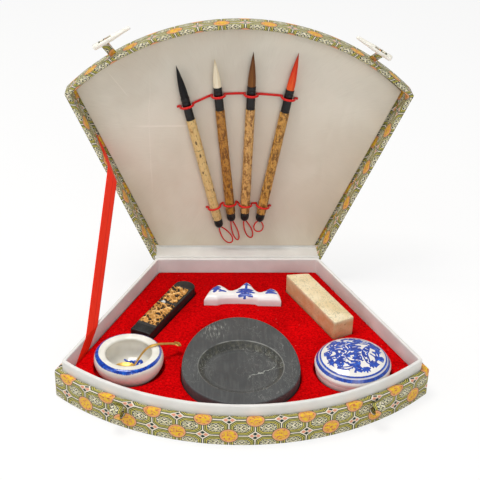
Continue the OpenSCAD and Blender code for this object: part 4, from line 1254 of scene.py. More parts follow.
# Case walls: the section (inset, height) goes up outside, over the rim and down inside
section = np.array([
    [1, 0], [0.3, 0.15], [0, 0.7], [0, 4], [0, 9], [0, 14], [0, 19], [0, 23], [0, 24],
    [0.1, 24.5], [0.4, 24.88], [0.9, 25], [2.2, 25], [3.6, 25], [4.3, 25], [4.8, 24.8],
    [4.97, 24.3], [4.97, 14], [4.97, 2.5]])
rows = fan_rows(*section.T)
along = travel(rows[0])[None]
waver = ripple(along, rows[..., 2], 60, 4) * 0.12
waver[[0, -1]] = 0
rows[1:-1, :, 2] -= np.abs(waver[1:-1]) * (rows[1:-1, :, 2] > 20)
case_cover = surface("case_cover", rows, around=True, caps=("first", "last"),
                     uv=brocade_uv(rows, 9, 6))
piece(case_cover, "case", "brocade", "brocade",
      "floor_board", "case_back", "case_left", "case_right", "case_front")

# Collar: up its outer face, over the folded edge and down the inner one
section = [[5.03, 2.55], [5.03, 14], [5.03, 25], [5.03, 32.6], [5.07, 33.3], [5.3, 33.8],
           [5.7, 34], [6.5, 34], [7.2, 34], [7.7, 33.8], [7.93, 33.4], [7.97, 32.8], [7.97, 28],
           [7.97, 24], [7.97, 14], [7.97, 2.55]]
rows = fan_rows(*np.transpose(section), corner=2.0)
rows[..., 2] -= np.abs(ripple(along, 0, 34, 8)) * 0.35 * ease(rows[..., 2], 30, 34)
collar = surface("collar_paper", rows, around=True, tube=True)
piece(collar, "case", "paper", "paper",
      "collar_back", "collar_left", "collar_right", "collar_front")


def bed_height(x, y):
    """The velvet's face: nearly flat, with slow swells."""
    return 20.8 + 0.15 * ripple(x, y, 70, 21) + 0.05 * ripple(x, y, 14, 22)


# Each recess: its outline, its place and the height of its floor
recesses = [(evened(stone_loop(0.6), 1.6), STONE_AT, STONE_Z),
            (evened(stick_loop(0.6), 1.6), STICK_AT, STICK_Z),
            (evened(grown(evened(rest_loop(), 0.8), 0.6), 1.2), REST_AT, REST_Z),
            (evened(seal_loop(0.6), 1.6), SEAL_AT, SEAL_Z),
            (circle(DISH_R + 0.6, 110), DISH_AT, DISH_Z),
            (circle(PASTE_R + 0.6, 120), PASTE_AT, PASTE_Z)]
edges, walls = [], []
for number, (loop, place, floor_z) in enumerate(recesses):
    loop = put(place, ring_at(loop, 0))[:, :2]
    turns = travel(loop)
    ragged = 0.22 * ripple(turns, 0, 5, number) + 0.12 * ripple(turns, 0, 1.9, number + 9)
    lip = grown(loop, 1.1 + ragged)
    edges.append(lip)
    top = bed_height(*lip.T)
    rings = [ring_at(lip, top)]
    for out, drop in ((0.75, 0.06), (0.42, 0.22), (0.2, 0.5), (0.06, 0.95)):
        rings.append(ring_at(grown(loop, out + 0.6 * ragged * (out > 0.3)), top - drop))
    for share in (0.0, 0.35, 0.7, 1.0):
        rings.append(ring_at(loop, (top - 2) * (1 - share) + (floor_z - 0.02) * share))
    rings.append(ring_at(grown(loop, -1.0), floor_z - 0.02))
    walls.append(surface(f"recess_{number}", rings, around=True, caps=("last",)))
rim = fan_rows([8.8, 8.85, 9.2, 10], [2.6, 19.4, 20.5, 0], counts=(90, 110, 220))
rim[3, :, 2] = bed_height(*rim[3, :, :2].T)
side = surface("bed_side", rim, around=True, caps=("first",))
face = patch("bed_face", rim[3], edges, 2.2, bed_height)
bed = joined("velvet_cover", face, side, *walls)
piece(bed, "case", "velvet", "velvet", "velvet_bed")

# Hinge: brocade outside, paper inside. Both bend from the case to the lid.


def bend(a, b, c, d, count):
    """Cubic from a to d with the handles b and c."""
    t = np.linspace(0, 1, count)[:, None]
    return ((1 - t) ** 3 * a + 3 * (1 - t) ** 2 * t * b + 3 * (1 - t) * t * t * c + t ** 3 * d)


def hinge_band(name, path, half, thick):
    """Band across the hinge whose faces stay square to the path."""
    way = ways(path)
    facing = np.stack([0 * way[:, 0], -way[:, 2], way[:, 1]], -1)
    return band(name, path, [1, 0, 0], facing, half, thick, steps=40)


y = BACK_Y + 0.3
fold_a, fold_b, fold_end = (np.array([0, y, CASE_H - 5]), put(OPEN, [0, y, RIM_Z + 4]),
                            put(OPEN, [0, y, RIM_Z + 15]))
path = np.concatenate([
    np.linspace([0, y, CASE_H - 17], fold_a, 9)[:-1],
    bend(fold_a, fold_a + [0, 0, 3.5], fold_b - 3 * unit(fold_end - fold_b), fold_b, 16),
    np.linspace(fold_b, fold_end, 8)[1:]])
cloth = hinge_band("hinge_brocade", path, 76, 0.5)
cloth_l = float(travel(path)[-1])

y = BACK_Y - LID_WALL - 0.2
tip, edge_ = put(OPEN, [0, y, PAD_Z - 0.5]), put(OPEN, [0, y, RIM_Z - 0.4])
case_edge = np.array([0, BACK_Y - 0.4, 25.2])
under, foot = put(OPEN, [0, BACK_Y - 6.95, 41.7]), put(OPEN, [0, y - 0.5, 41.7])
path = np.concatenate([
    np.linspace(under, foot, 5)[:-1], bend(foot, (foot + put(OPEN, [0, y, 41.7])) / 2,
                                           put(OPEN, [0, y, 41.5]), put(OPEN, [0, y, 41.1]), 5),
    np.linspace(tip, edge_, 14)[1:-1],
    bend(edge_, edge_ + 1.8 * unit(edge_ - tip), case_edge + [0, 2.2, 0.4], case_edge, 14),
    np.linspace(case_edge, [0, BACK_Y - 4.95, 25.2], 5)[1:]])
lining = hinge_band("hinge_lining", path, 75.3, 0.3)
lining_l = float(travel(path)[-1])

for obj, look, node, flat, start, end in (
        (cloth, "brocade", "hinge_cloth", (0.152, cloth_l * MM), fold_a, fold_b),
        (lining, "paper", "hinge_paper", (0.1506, lining_l * MM), case_edge, edge_)):
    obj.data.materials.append(looks[look])
    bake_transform(obj)
    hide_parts(node)

for side, name in ((-1, "left"), (1, "right")):
    place = by_clasp(side, (30.4 if side < 0 else 32) - math.degrees(13.4 / ARC_R))
    a = np.radians(np.linspace(30.5, 329.5, 40))
    path = np.stack([0 * a, -4 + 4.6 * np.cos(a), 17.3 + 4.6 * np.sin(a)], -1)
    out = np.stack([0 * a, np.cos(a), np.sin(a)], -1)
    loop = band(f"{name}_case_loop_cloth", path, [1, 0, 0], out, 4.5, 1.2, place=place)
    piece(loop, "case", "brocade", "brocade", f"{name}_case_loop")


# Lid

# Lid walls: the same, hung from the board
section = np.array([
    [1, 44.15], [0.3, 44], [0, 43.4], [0, 40], [0, 36], [0, 32], [0, 28], [0, 26.1],
    [0.1, 25.6], [0.4, 25.27], [0.9, 25.15], [2.1, 25.15], [3.4, 25.15], [3.9, 25.27],
    [4.2, 25.6], [4.3, 26.1], [4.3, 31], [4.3, 36], [4.3, 41.95]])
rows = fan_rows(*section.T)
uv = brocade_uv(rows, 9, 22)
uv[..., 1] -= 6.4 * MM
lid_cover = surface("lid_cover", rows, around=True, caps=("first", "last"), uv=uv, place=OPEN)
piece(lid_cover, "lid", "brocade", "brocade",
      "lid_board", "lid_back", "lid_left", "lid_right", "lid_front")

# Satin: rows drawn in from the edge, then scaled towards the middle, with soft creases
edge_rows = fan_rows([7, 7.02, 7.2, 7.8, 8.8, 10.4, 12.6, 15.5, 19, 23, 27],
                     [41.9, 41.3, 40.95, 40.72, 40.6, 40.52, 40.46, 40.42, 40.38, 40.36, 40.35])
middle = np.array([0, 4, 40.35])
shares = np.linspace(1, 0.02, 60)[1:, None, None]
rows = np.concatenate([edge_rows, middle + (edge_rows[-1] - middle) * shares])
x, y = rows[..., 0], rows[..., 1]
crease = np.abs(ripple(x, y * 0.5, 26, 31, 7))
soft = 0.28 * (1 - ease(crease, 0.0, 0.3)) * ease(np.hypot(x, y * 0.7), 30, 60)
soft += 0.2 * (0.5 + 0.5 * ripple(x, y, 60, 33))
rows[1:, :, 2] += (soft * ease(40.9 - rows[..., 2], 0, 0.4))[1:]
satin = surface("satin_pad", rows, around=True, caps=("first", "last"), place=OPEN)
# The edge attribute marks the satin's tucked edge, which takes painted shade
mark(satin, OPEN, edge=lambda x, y, z, nz: ease(z, 40.98, 41.2))
piece(satin, "lid", "satin", "satin", "satin_panel")


def on_brush(k, dist, across, high):
    """A point near a brush: along it, across it and off the satin, in the shut lid."""
    s, c = math.sin(math.radians(BRUSH_LEAN[k])), math.cos(math.radians(BRUSH_LEAN[k]))
    return [BRUSH_X[k] - dist * s + across * c, BACK_Y - BRUSH_BACK[k] - dist * c - across * s,
            PAD_Z - high]


def elastic(name, dist, r, lead):
    """Cord over the four brushes: beside each it dips to the satin, and over it follows
    a half circle a radius off the bamboo."""
    points = [on_brush(0, dist[0], -lead, r + 0.05)]
    for k in range(4):
        reach = HANDLE_R + 0.25 + r
        points += [on_brush(k, dist[k], -reach - 0.7, r + 0.05),
                   on_brush(k, dist[k], -reach, AXIS_DROP * 0.55)]
        points += [on_brush(k, dist[k], -reach * math.cos(a), AXIS_DROP + reach * math.sin(a))
                   for a in np.radians(np.arange(0, 181, 22.5))]
        points += [on_brush(k, dist[k], reach, AXIS_DROP * 0.55),
                   on_brush(k, dist[k], reach + 0.7, r + 0.05)]
    points.append(on_brush(3, dist[3], lead, r + 0.05))
    path = spline(put(OPEN, points), 4)
    return piece(tube(f"{name}_cord", path, r), "lid", "red_cord", "red_cord", name)


elastic("upper_elastic", [121] * 4, 1.05, 9)
elastic("lower_elastic", [20.5, 17, 15.5, 15.5], 0.9, 8)

# Stay ribbon: four stops with their places, cut directions and half lengths
wall_way = np.array([-math.sin(SIDE_A), -math.cos(SIDE_A), 0])


def left_wall_pt(along, inset, z):
    """A point beside the left wall: along it from the back, in from its outer face, and up."""
    return np.array([-BACK_W / 2 - along * math.sin(SIDE_A) + inset * math.cos(SIDE_A),
                     BACK_Y - along * math.cos(SIDE_A) - inset * math.sin(SIDE_A), z])


stops = np.array([put(OPEN, left_wall_pt(118, LID_WALL + 0.25, PAD_Z + 0.6)),
                  put(OPEN, left_wall_pt(93, LID_WALL + 0.25, RIM_Z)),
                  left_wall_pt(129, COLLAR_IN + 0.25, COLLAR_TOP + 0.25),
                  left_wall_pt(149, COLLAR_IN + 0.25, BED_TOP - 4)])
cuts = np.array([OPEN[:3, :3] @ wall_way * 0.75, OPEN[:3, :3] @ wall_way * 0.66,
                 wall_way * 0.78, wall_way * 0.78]) * 13
spans = [24, 130, 26]
path = np.concatenate([np.linspace(stops[i], stops[i + 1], n + 1)[:-1]
                       for i, n in enumerate(spans)] + [stops[-1:]])
cut = np.concatenate([np.linspace(cuts[i], cuts[i + 1], n + 1)[:-1]
                      for i, n in enumerate(spans)] + [cuts[-1:]])
facing = unit(np.cross(ways(path), cut))
facing = unit(np.array([facing[max(0, i - 2):i + 3].mean(0) for i in range(len(facing))]))
tucked = sum(spans[:2])
ribbon = band("stay_ribbon_satin", path[:tucked + 1], cut[:tucked + 1], facing[:tucked + 1],
              1.0, 0.36, steps=14)
tuck = band("stay_ribbon_tuck", path[tucked:], cut[tucked:], facing[tucked:], 1.0, 0.36, steps=14)
for part in (ribbon, tuck):
    piece(part, "case", "ribbon", "red_cord", "stay_ribbon")
# It folds to a slant that keeps it clear of the lid's wall, the collar and the ink stick
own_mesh(ribbon)

for side, name, angle, lean in ((-1, "left", 30.4, 28), (1, "right", 32, 48)):
    place = OPEN @ by_clasp(side, angle, 0.9) @ shift(z=RIM_Z + 8) @ turn("x", lean)
    y = np.linspace(0.6, -18.75, 26)
    path = np.stack([0 * y, y, 0 * y], -1)
    half = 3.5 - 0.5 * ease(np.abs(np.arange(26) - 12.5), 11.4, 12.6)
    strap = band(f"{name}_strap_cloth", path, [1, 0, 0], [0, 0, 1], half, 1.3, place=place)
    piece(strap, f"{name}_strap", "brocade", "brocade", f"{name}_strap")


# Brushes

def brush(k, tint, look, slot, hair_slot):
    """One brush, turned about its axis. The handle's radius is 4.18 with two slow sine
    ripples, a ridge on each side of a knot and a groove in it. The hair's radius swells a
    little and then falls as a power of its share, 3.45(1.015 + 0.35t - 1.352t^1.6)."""
    place = brush_at(k)
    body = f"{tint}_brush"
    z = np.concatenate([np.arange(9, 107.2, 0.6), [107.4]])
    r = 4.18 + 0.04 * np.sin(z / 6 + k) + 0.03 * np.sin(z / 2.3 + 2 * k)
    for knot in KNOTS:
        gap = z - knot
        r += (0.17 * np.exp(-((gap + 0.9) / 0.9) ** 2) + 0.2 * np.exp(-((gap - 0.9) / 0.8) ** 2)
              - 0.22 * np.exp(-(gap / 0.3) ** 2))
    handle = np.concatenate([[[0.01, CAP_L], [3.9, CAP_L], [4.05, 8.2], [4.12, 8.6]],
                             np.stack([np.minimum(r, HANDLE_R), z], -1),
                             [[FERRULE_R, FERRULE_AT], [0.01, FERRULE_AT]]])
    made = lathe(f"{tint}_handle_bamboo", handle, place, 40)
    piece(made, body, look, slot, f"{tint}_brush_handle")
    r = FERRULE_R
    ferrule = [[0.01, FERRULE_AT], [r - 0.1, 108.02], [r, 108.2], [r, 109.3], [r - 0.25, 109.7],
               [r - 0.25, 109.9], [r, 110.3], [r - 0.05, 113], [r - 0.12, 117], [r - 0.1, 121],
               [r - 0.04, 124.7], [r - 0.28, 125.1], [r - 0.28, 125.3], [r - 0.04, 125.7],
               [r, 128.4], [r - 0.12, 128.8], [r - 0.4, HAIR_AT], [0.01, HAIR_AT]]
    piece(lathe(f"{tint}_ferrule_horn", fine(ferrule, 3), place, 40), body, "horn", "horn",
          f"{tint}_brush_ferrule")
    cap = [[0.01, 5.6], [1.4, 5.6], [1.4, 0.95], [1.55, 0.5], [2.0, 0.02], [2.3, 0.15],
           [2.9, 0.85], [3.35, 1.5], [3.68, 2.4], [3.85, 3.2], [3.9, 4], [3.9, 5.9],
           [3.66, 6.35], [3.9, 6.8], [3.9, 7.8], [3.75, 7.98], [0.01, 7.98]]
    piece(lathe(f"{tint}_cap_horn", fine(cap, 3), place, 40), body, "horn", "horn",
          f"{tint}_brush_cap")

    def tuft(a, r, z):
        """Flutes that the hairs gather into, finer strands between, and a drawn point."""
        t = (z - HAIR_AT) / HAIR_L[k]
        deep = 0.13 * np.sin(np.minimum(math.pi, math.pi * (0.12 + t)))
        wave = 0.5 + 0.5 * np.cos(13 * a + 0.9 * np.sin(4 * t + k))
        finer = 0.5 + 0.5 * np.cos(37 * a + 1.3 * np.sin(7 * t))
        r = r * (1 - deep * (0.7 * wave + 0.3 * finer))
        return r, z + 0.5 * t * np.sin(9 * a + k) * (t > 0.5)

    t = np.linspace(0, 1, 30)
    r = 3.45 * (1.015 + 0.35 * t - 1.352 * t ** 1.6)
    profile = np.stack([np.maximum(r, 0.06), HAIR_AT - 0.3 + (HAIR_L[k] + 0.2) * t], -1)
    profile = np.concatenate([[[0.01, HAIR_AT - 0.3]], profile])
    hair_ = lathe(f"{tint}_hair_bundle", profile, place, 148, tuft)
    mark(hair_, place, along=lambda x, y, z, nz: (z - HAIR_AT) / HAIR_L[k])
    piece(hair_, body, f"{tint}_hair", hair_slot, f"{tint}_brush_hair")


for k, (tint, look) in enumerate(zip(BRUSHES, ("bamboo_pale", "bamboo_brown", "bamboo_tan",
                                               "bamboo_gold"))):
    brush(k, tint, look, "bamboo", f"{tint}_hair")


# Ink stone

def ink_stone():
    """Egg-shaped slab: outline rows eased at the edges, then a face that runs in to the
    well's lip, r = 34.25/(1 - 0.062 sin a), its sloping wall and its tilted floor."""
    outline = stone_loop()
    a = np.arange(len(outline)) / len(outline) * 2 * math.pi
    top = STONE_Z + STONE_H
    rough = ripple(outline[:, 0], outline[:, 1], 16, 41)
    rows = []
    for inset, z in ((2.4, 0), (1.6, 0.4), (0.7, 1.3), (0.15, 2.8), (0, 6), (0, 9), (0, 12),
                     (0, 15), (0.03, 17.4), (0.15, 18.2), (0.45, 18.7), (0.95, 18.95),
                     (1.7, 19)):
        chip = 0.25 * np.abs(ripple(a * 58, z * 3, 9, 42)) * (0.1 < z < 18.3)
        rows.append(ring_at(grown(outline, -inset - chip * (1 + rough) * 0.6), STONE_Z + z))
    face, sine = rows[-1], np.sin(a)
    lip = 34.25 / (1 - 0.062 * sine)

    def well(radius, drop):
        return np.column_stack([radius * np.cos(a), radius * sine, top - drop + 0 * a])

    outer = well(lip + 1.0, 0)
    for share in np.linspace(0, 1, 12)[1:-1]:
        rows.append(face * (1 - share) + outer * share)
    rows += [outer, well(lip + 0.45, 0.06), well(lip, 0.3)]
    foot = 3.59 + 30 * sine * 0.0524
    for share in (0.2, 0.4, 0.6, 0.8, 0.93):
        radius = lip * (1 - share) + 30.4 * share
        rows.append(well(radius, 0.3 + (foot - 0.35) * share))
    rows.append(well(29.7, foot - 0.03))
    for radius in (28, 24, 20, 16, 12, 8, 4, 1):
        rows.append(well(radius, 3.59 + radius * sine * 0.0524))
    return surface("ink_stone_slate", rows, around=True, caps=("first", "last"), place=STONE_AT)


piece(ink_stone(), "ink_stone", "slate", "slate", "ink_stone")


# Ink stick

def slab(name, loop, place, low, high, foot, head, step=1.2, **more):
    """Rows of an outline drawn in by steps of (inset, rise) at the foot and (inset, drop)
    at the head, with a flat cap at each end."""
    loop = evened(loop, step)
    rows = [ring_at(grown(loop, -inset), low + rise) for inset, rise in foot]
    rows += [ring_at(loop, low + (high - low) * share) for share in (0.3, 0.5, 0.7)]
    rows += [ring_at(grown(loop, -inset), high - drop) for inset, drop in head]
    return surface(name, rows, around=True, caps=("first", "last"), place=place)


def winding(x, y):
    """Signed distances in mm to the relief's strokes: a body that winds along the stick
    in two chunks, and curled clouds beside it."""
    strokes = []
    for low, high in ((-29.5, 1.5), (6, 29.5)):
        u = np.linspace(0, 1, 26)
        strokes.append(np.stack([4.4 * np.sin(np.radians(u * 540 + 30)),
                                 low + (high - low) * u, 0.9 + 0.9 * np.sin(math.pi * u)], -1))
    for cx, cy, size, way in ((-5.4, -25, 2.3, 1), (5.6, -17.5, 2.2, -1), (-5.6, -9, 2.2, 1),
                              (5.4, -4, 2, 1), (5.2, 12.5, 2.1, -1), (-5.4, 20, 2.3, 1),
                              (3.6, 26, 1.9, -1), (-5.6, 9.5, 1.8, -1)):
        a = np.linspace(0, 4.4, 9)
        curl = size * (1 - a / 6)
        strokes.append(np.stack([cx + way * curl * np.cos(a), cy + curl * np.sin(a),
                                 0.75 - a * 0.08], -1))
    return drawn(x, y, strokes, 2)


def relief(x, y):
    """Height of the relief: folds, as 1 less a bent ripple's size, over a winding body."""
    chunk = np.maximum(np.abs(y + 14) - 16.6, np.abs(x) - 8.9 + 0.6 * ripple(x, y, 9, 51))
    rear = np.maximum(np.abs(y - 17.8) - 12.6, np.abs(x + 0.8) - 8.1 + 0.8 * ripple(x, y, 8, 52))
    ground = np.minimum(chunk, rear) + 0.5 * ripple(x, y, 5, 53)
    bent = x + 1.6 * ripple(x, y, 8, 54)
    fold_and_highlight = 1 - np.abs(ripple(bent, y * 0.8 + x * 0.4, 5.6, 55)) * 2.6
    finer = 1 - np.abs(ripple(bent, y, 3.4, 56)) * 2.4
    raised = 0.55 * ease(-winding(x, y), -1.2, 0.9)
    cover = ease(-ground, -0.2, 0.5)
    low = 0.1 + 0.62 * ease(fold_and_highlight, 0.05, 0.75) + 0.3 * ease(finer, 0.2, 0.9)
    edge = 1 - 0.6 * ease(np.abs(x), 8.1, 8.9)
    return cover * edge * np.minimum(low * (1 - 0.35 * raised) + raised, 1.3), cover


STICK_TOP = STICK_Z + STICK_H
body = slab("ink_stick_body", stick_loop(), STICK_AT, STICK_Z, STICK_TOP,
            ((0.9, 0), (0.3, 0.3), (0, 0.9)), ((0, 0.9), (0.1, 0.45), (0.3, 0.22), (0.9, 0)))
piece(body, "ink_stick", "ink", "ink", "ink_stick")
x, y = np.meshgrid(np.linspace(-8.9, 8.9, 60), np.linspace(-33, 33, 222))
height, _ = relief(x, y)
grid = np.stack([x, y, STICK_TOP + 0.02 + height * 0.95], -1)
below = np.stack([x[[-1, 0]], y[[-1, 0]], 0 * x[:2] + STICK_TOP - 0.4], -1)
grid = np.concatenate([grid, below])
ends = grid[:, [0, -1]] * [1, 1, 0] + [0, 0, STICK_TOP - 0.4]
grid = np.concatenate([ends[:, :1], grid, ends[:, 1:]], 1)
cloud = surface("ink_stick_gilding", grid, tube=True, place=STICK_AT)
mark(cloud, STICK_AT, gilt=lambda x, y, z, nz: relief(x, y)[1] * (z > STICK_TOP - 0.1),
     height=lambda x, y, z, nz: z - STICK_TOP - 0.02,
     silver=lambda x, y, z, nz: ease(1.9 - np.hypot((x + 4.2) / 1.3, y - 4.0), 0, 0.6))
piece(cloud, "ink_stick", "gilt", "gilt", "ink_stick_relief")


# Brush rest

def brush_rest():
    """Pillow-edged slab: its face falls away within 4.2 mm of the outline as a quarter
    circle does, and its underside within 2 mm."""
    loop = evened(rest_loop(), 0.75)
    top, low = REST_Z + REST_H, REST_Z

    def over(x, y):
        d = gap_to(np.stack([x, y], -1), loop)
        return top - 4.2 * (1 - np.sqrt(1 - (1 - np.minimum(d / 4.2, 1)) ** 2 * 0.98))

    def under(x, y):
        d = gap_to(np.stack([x, y], -1), loop)
        return low + 2 * (1 - np.sqrt(1 - (1 - np.minimum(d / 2, 1)) ** 2 * 0.98))

    start, end = under(*loop[:1].T)[0], over(*loop[:1].T)[0]
    side = [ring_at(loop, start + (end - start) * t) for t in (0, 0.25, 0.5, 0.75, 1)]
    return joined("brush_rest_glazed", patch("face", loop, [], 0.62, over, REST_AT),
                  patch("back", loop, [], 0.9, under, REST_AT),
                  surface("side", side, around=True, place=REST_AT))


def trees(x, y):
    """Generic landscape marks: two small trees on the outer peaks, a tall one between."""
    strokes = [[(-25, 8.5, 0.8), (-23.6, 12, 1.2), (-22.6, 16, 0.5)],
               [(-28, 12.2, 0.5), (-24, 13.8, 1.5), (-19.4, 12.2, 0.5)],
               [(-26.4, 16, 0.4), (-23, 16.8, 1.2), (-20, 15.6, 0.5)],
               [(-20.5, 9.5, 0.4), (-17.6, 10.4, 0.9), (-15, 9.2, 0.4)],
               [(1.6, 2.6, 0.7), (2.4, 9, 0.8), (3.2, 16, 0.7), (3.6, 23, 0.4)],
               [(0, 24.2, 0.4), (3.4, 24.8, 1.2), (6.6, 23.8, 0.4)],
               [(-1.6, 20.6, 0.4), (1.2, 21.3, 0.9), (4.6, 20.6, 0.8), (7.4, 19.6, 0.3)],
               [(20.6, 7.4, 0.5), (23.6, 10.6, 1.2), (25.4, 14.2, 0.5)],
               [(19.4, 11.6, 0.4), (24.4, 12.6, 1.5), (28.4, 11.2, 0.5)],
               [(21, 7.6, 0.5), (25.4, 8.6, 1.3), (29.6, 7.0, 0.5)]]
    for tier, w in ((5.2, 5.6), (8.8, 7.4), (12.4, 6.0)):
        strokes.append([(2.4 - w, tier - 0.9, 0.4), (2.4 - w * 0.45, tier + 0.2, 1.25),
                        (2.6, tier + 0.6, 0.9), (2.8 + w * 0.45, tier, 1.2),
                        (2.8 + w, tier - 1.2, 0.4)])
    return drawn(x, y, strokes, 4) - 0.45


rest = brush_rest()
mark(rest, REST_AT, cobalt=lambda x, y, z, nz: np.where(nz > 0.1, trees(x, y), 9),
     strength=lambda x, y, z, nz: 0.95 + 0 * x)
piece(rest, "brush_rest", "rest_glaze", "porcelain", "brush_rest")


# Seal stone

seal = slab("seal_stone_block", seal_loop(), SEAL_AT, SEAL_Z, SEAL_Z + SEAL_H,
            ((0.9, 0), (0.25, 0.25), (0, 0.9)),
            ((0, 0.9), (0.08, 0.5), (0.28, 0.2), (0.6, 0.04), (0.9, 0)))
piece(seal, "seal_stone", "soapstone", "soapstone", "seal_stone")


# Water dish and spoon

def water_dish():
    """Turned bowl: a curve from the foot up over the shoulder, in at the mouth and down
    the hollow."""
    r, m, h = DISH_R, DISH_MOUTH, DISH_H
    curve = spline([[r * 0.6, 0], [r * 0.63, 1.2], [r * 0.76, h * 0.17], [r * 0.9, h * 0.38],
                    [r * 0.975, h * 0.57], [r, h * 0.73], [r * 0.985, h * 0.86],
                    [r * 0.94, h * 0.945], [r * 0.87, h * 0.99], [r * 0.78, h],
                    [m + 0.9, h * 0.985], [m, h * 0.92], [m + 1.4, h * 0.78],
                    [m + 2.6, h * 0.58], [m + 1.8, h * 0.36], [m * 0.75, 4.6],
                    [m * 0.35, 4]], 6)
    profile = np.concatenate([[[0.01, 1.2], [r * 0.5, 1.2], [r * 0.52, 0.15], [r * 0.54, 0]],
                              curve, [[m * 0.15, 4], [0.01, 4]]])
    return lathe("water_dish_glazed", fine(profile, 2), DISH_AT @ shift(z=DISH_Z), 200)


def dish_paint(x, y, z, nz):
    """A ring on the shoulder, broad at the front left, and a flower on the floor."""
    local = z - DISH_Z
    far, a = np.hypot(x, y), np.arctan2(y, x)
    half = 1.2 + 0.4 * np.cos(a + 2.4) + 0.14 * np.sin(7 * a)
    ring = np.where(local > 15, np.abs(far - 25.6 - 0.2 * np.sin(3 * a)) - half, 9)
    flower = drawn(x, y, [[(3.5, 13, 1.2), (5.5, 12.2, 1.8), (7.4, 12.6, 0.8)],
                          [(-1, 12.5, 0.4), (1.6, 13.6, 0.9), (3, 11, 0.5)],
                          [(8.6, 9, 0.4), (9.6, 11, 0.8), (8.6, 13.2, 0.5)],
                          [(3.4, 8.5, 0.4), (5.2, 9.6, 0.7), (7.2, 8.4, 0.4)],
                          [(-4.5, 14.6, 0.4), (-2.6, 13.4, 0.8), (-2.2, 11.2, 0.4)]], 4)
    return np.minimum(ring, np.where((far < 19.5) & (local < 12), flower - 0.4, 9))


dish = water_dish()
mark(dish, DISH_AT, cobalt=dish_paint,
     strength=lambda x, y, z, nz: 1 - 0.25 * ease(x + y, 0, 34) * (z > DISH_Z + 15))
piece(dish, "water_dish", "dish_glaze", "porcelain", "water_dish")


def spoon():
    """Handle: a flat band along a curve whose end widens into three lobes. Bowl: ovals
    that deepen towards the middle as a power of their share, outside and inside."""
    lift = DISH_AT @ shift(z=DISH_Z + 4)
    points = [[3.5, 4.5, 2.2], [6, 4.4, 7], [9, 4.6, 12.5], [12.6, 5, 17.6], [17, 5.8, 21.2],
              [22.5, 7.6, 21.8], [29, 10.6, 20.2], [35, 13.6, 18], [38, 15, 16.8],
              [41, 16.4, 15.6]]
    path = spline(points, 8)
    way = ways(path)
    side = unit(np.stack([-way[:, 1], way[:, 0], 0 * way[:, 0]], -1))
    half = np.interp(np.arange(len(path)) / 8, [0, 1, 3, 6.9, 7.15, 7.5, 7.85, 8.1, 8.5, 8.85, 9],
                     [1.3, 1.15, 1.2, 1.25, 1.6, 1.3, 2.9, 3.6, 2.7, 2.8, 1.2])
    handle = band("spoon_handle", path, side, np.cross(way, side), half, 1.0, place=lift)
    outer = [(k, 2.2 * k ** 2.4) for k in (0.06, 0.3, 0.5, 0.7, 0.85, 0.95, 1)]
    inner = [(k, 0.6 + 1.6 * (k / 0.93) ** 2.4) for k in (0.93, 0.85, 0.7, 0.5, 0.3, 0.06)]
    a = np.arange(40) / 40 * 2 * math.pi
    rows = [np.stack([8 * k * np.cos(a), 5.2 * k * np.sin(a), 0 * a + z], -1)
            for k, z in outer + inner]
    bowl = surface("spoon_bowl", rows, around=True, caps=("first", "last"),
                   place=lift @ shift(-3.5, 4.5, 0.4))
    return joined("spoon_brass", handle, bowl)


piece(spoon(), "spoon", "brass", "brass", "spoon")


# Seal paste box

PASTE_UP = PASTE_AT @ shift(z=PASTE_Z)
r, h = PASTE_R, PASTE_H
lip, inner = r - 3.6, r - 5.2
base = [[0.01, 1.4], [r * 0.64, 1.4], [r * 0.655, 0.1], [r * 0.67, 0], [r * 0.71, 0],
        [r * 0.725, 0.2], [r * 0.74, 1.6], [r * 0.78, 2.7], [r * 0.83, 4], [r * 0.885, 6.2],
        [r * 0.925, 8], [r * 0.955, 10], [r * 0.978, 12.4], [r * 0.985, 15.7], [r * 0.975, h],
        [lip + 0.1, h], [lip, h + 0.1], [lip, h + 2], [lip - 0.2, h + 2.2], [inner + 0.2, h + 2.2],
        [inner, h + 2], [inner, h * 0.45], [inner * 0.97, 5.6], [inner * 0.9, 4.6],
        [inner * 0.7, 4], [0.01, 4]]
box = lathe("paste_box_glazed", fine(base, 2), PASTE_UP, 144)
mark(box, PASTE_UP, cobalt=lambda x, y, z, nz: 9 + 0 * x, strength=lambda x, y, z, nz: 1 + 0 * x)
piece(box, "paste_box", "box_glaze", "porcelain", "paste_box")

d = DOME_H
dome = spline([[r, 3.2], [r - 0.5, 4.2], [r * 0.945, 6], [r * 0.87, d * 0.62],
               [r * 0.7, d * 0.82], [r * 0.45, d * 0.95], [r * 0.2, d * 0.995], [0.01, d]], 10)
cover = np.concatenate([
    [[0.01, d - 3], [r * 0.2, d * 0.995 - 3], [r * 0.45, d * 0.95 - 3], [r * 0.7, d * 0.82 - 3],
     [lip + 0.25, 3.6], [lip + 0.25, 0.3], [lip + 0.4, 0.15], [r - 0.6, 0.15], [r - 0.15, 0.35],
     [r, 0.8], [r, 2]], dome])
LID_UP = PASTE_AT @ shift(z=PASTE_Z + PASTE_H)
HIDDEN = 11
cover = np.concatenate([cover[:HIDDEN], fine(cover[HIDDEN:], 3)])
paste_lid = lathe("paste_lid_glazed", cover, LID_UP, 280)


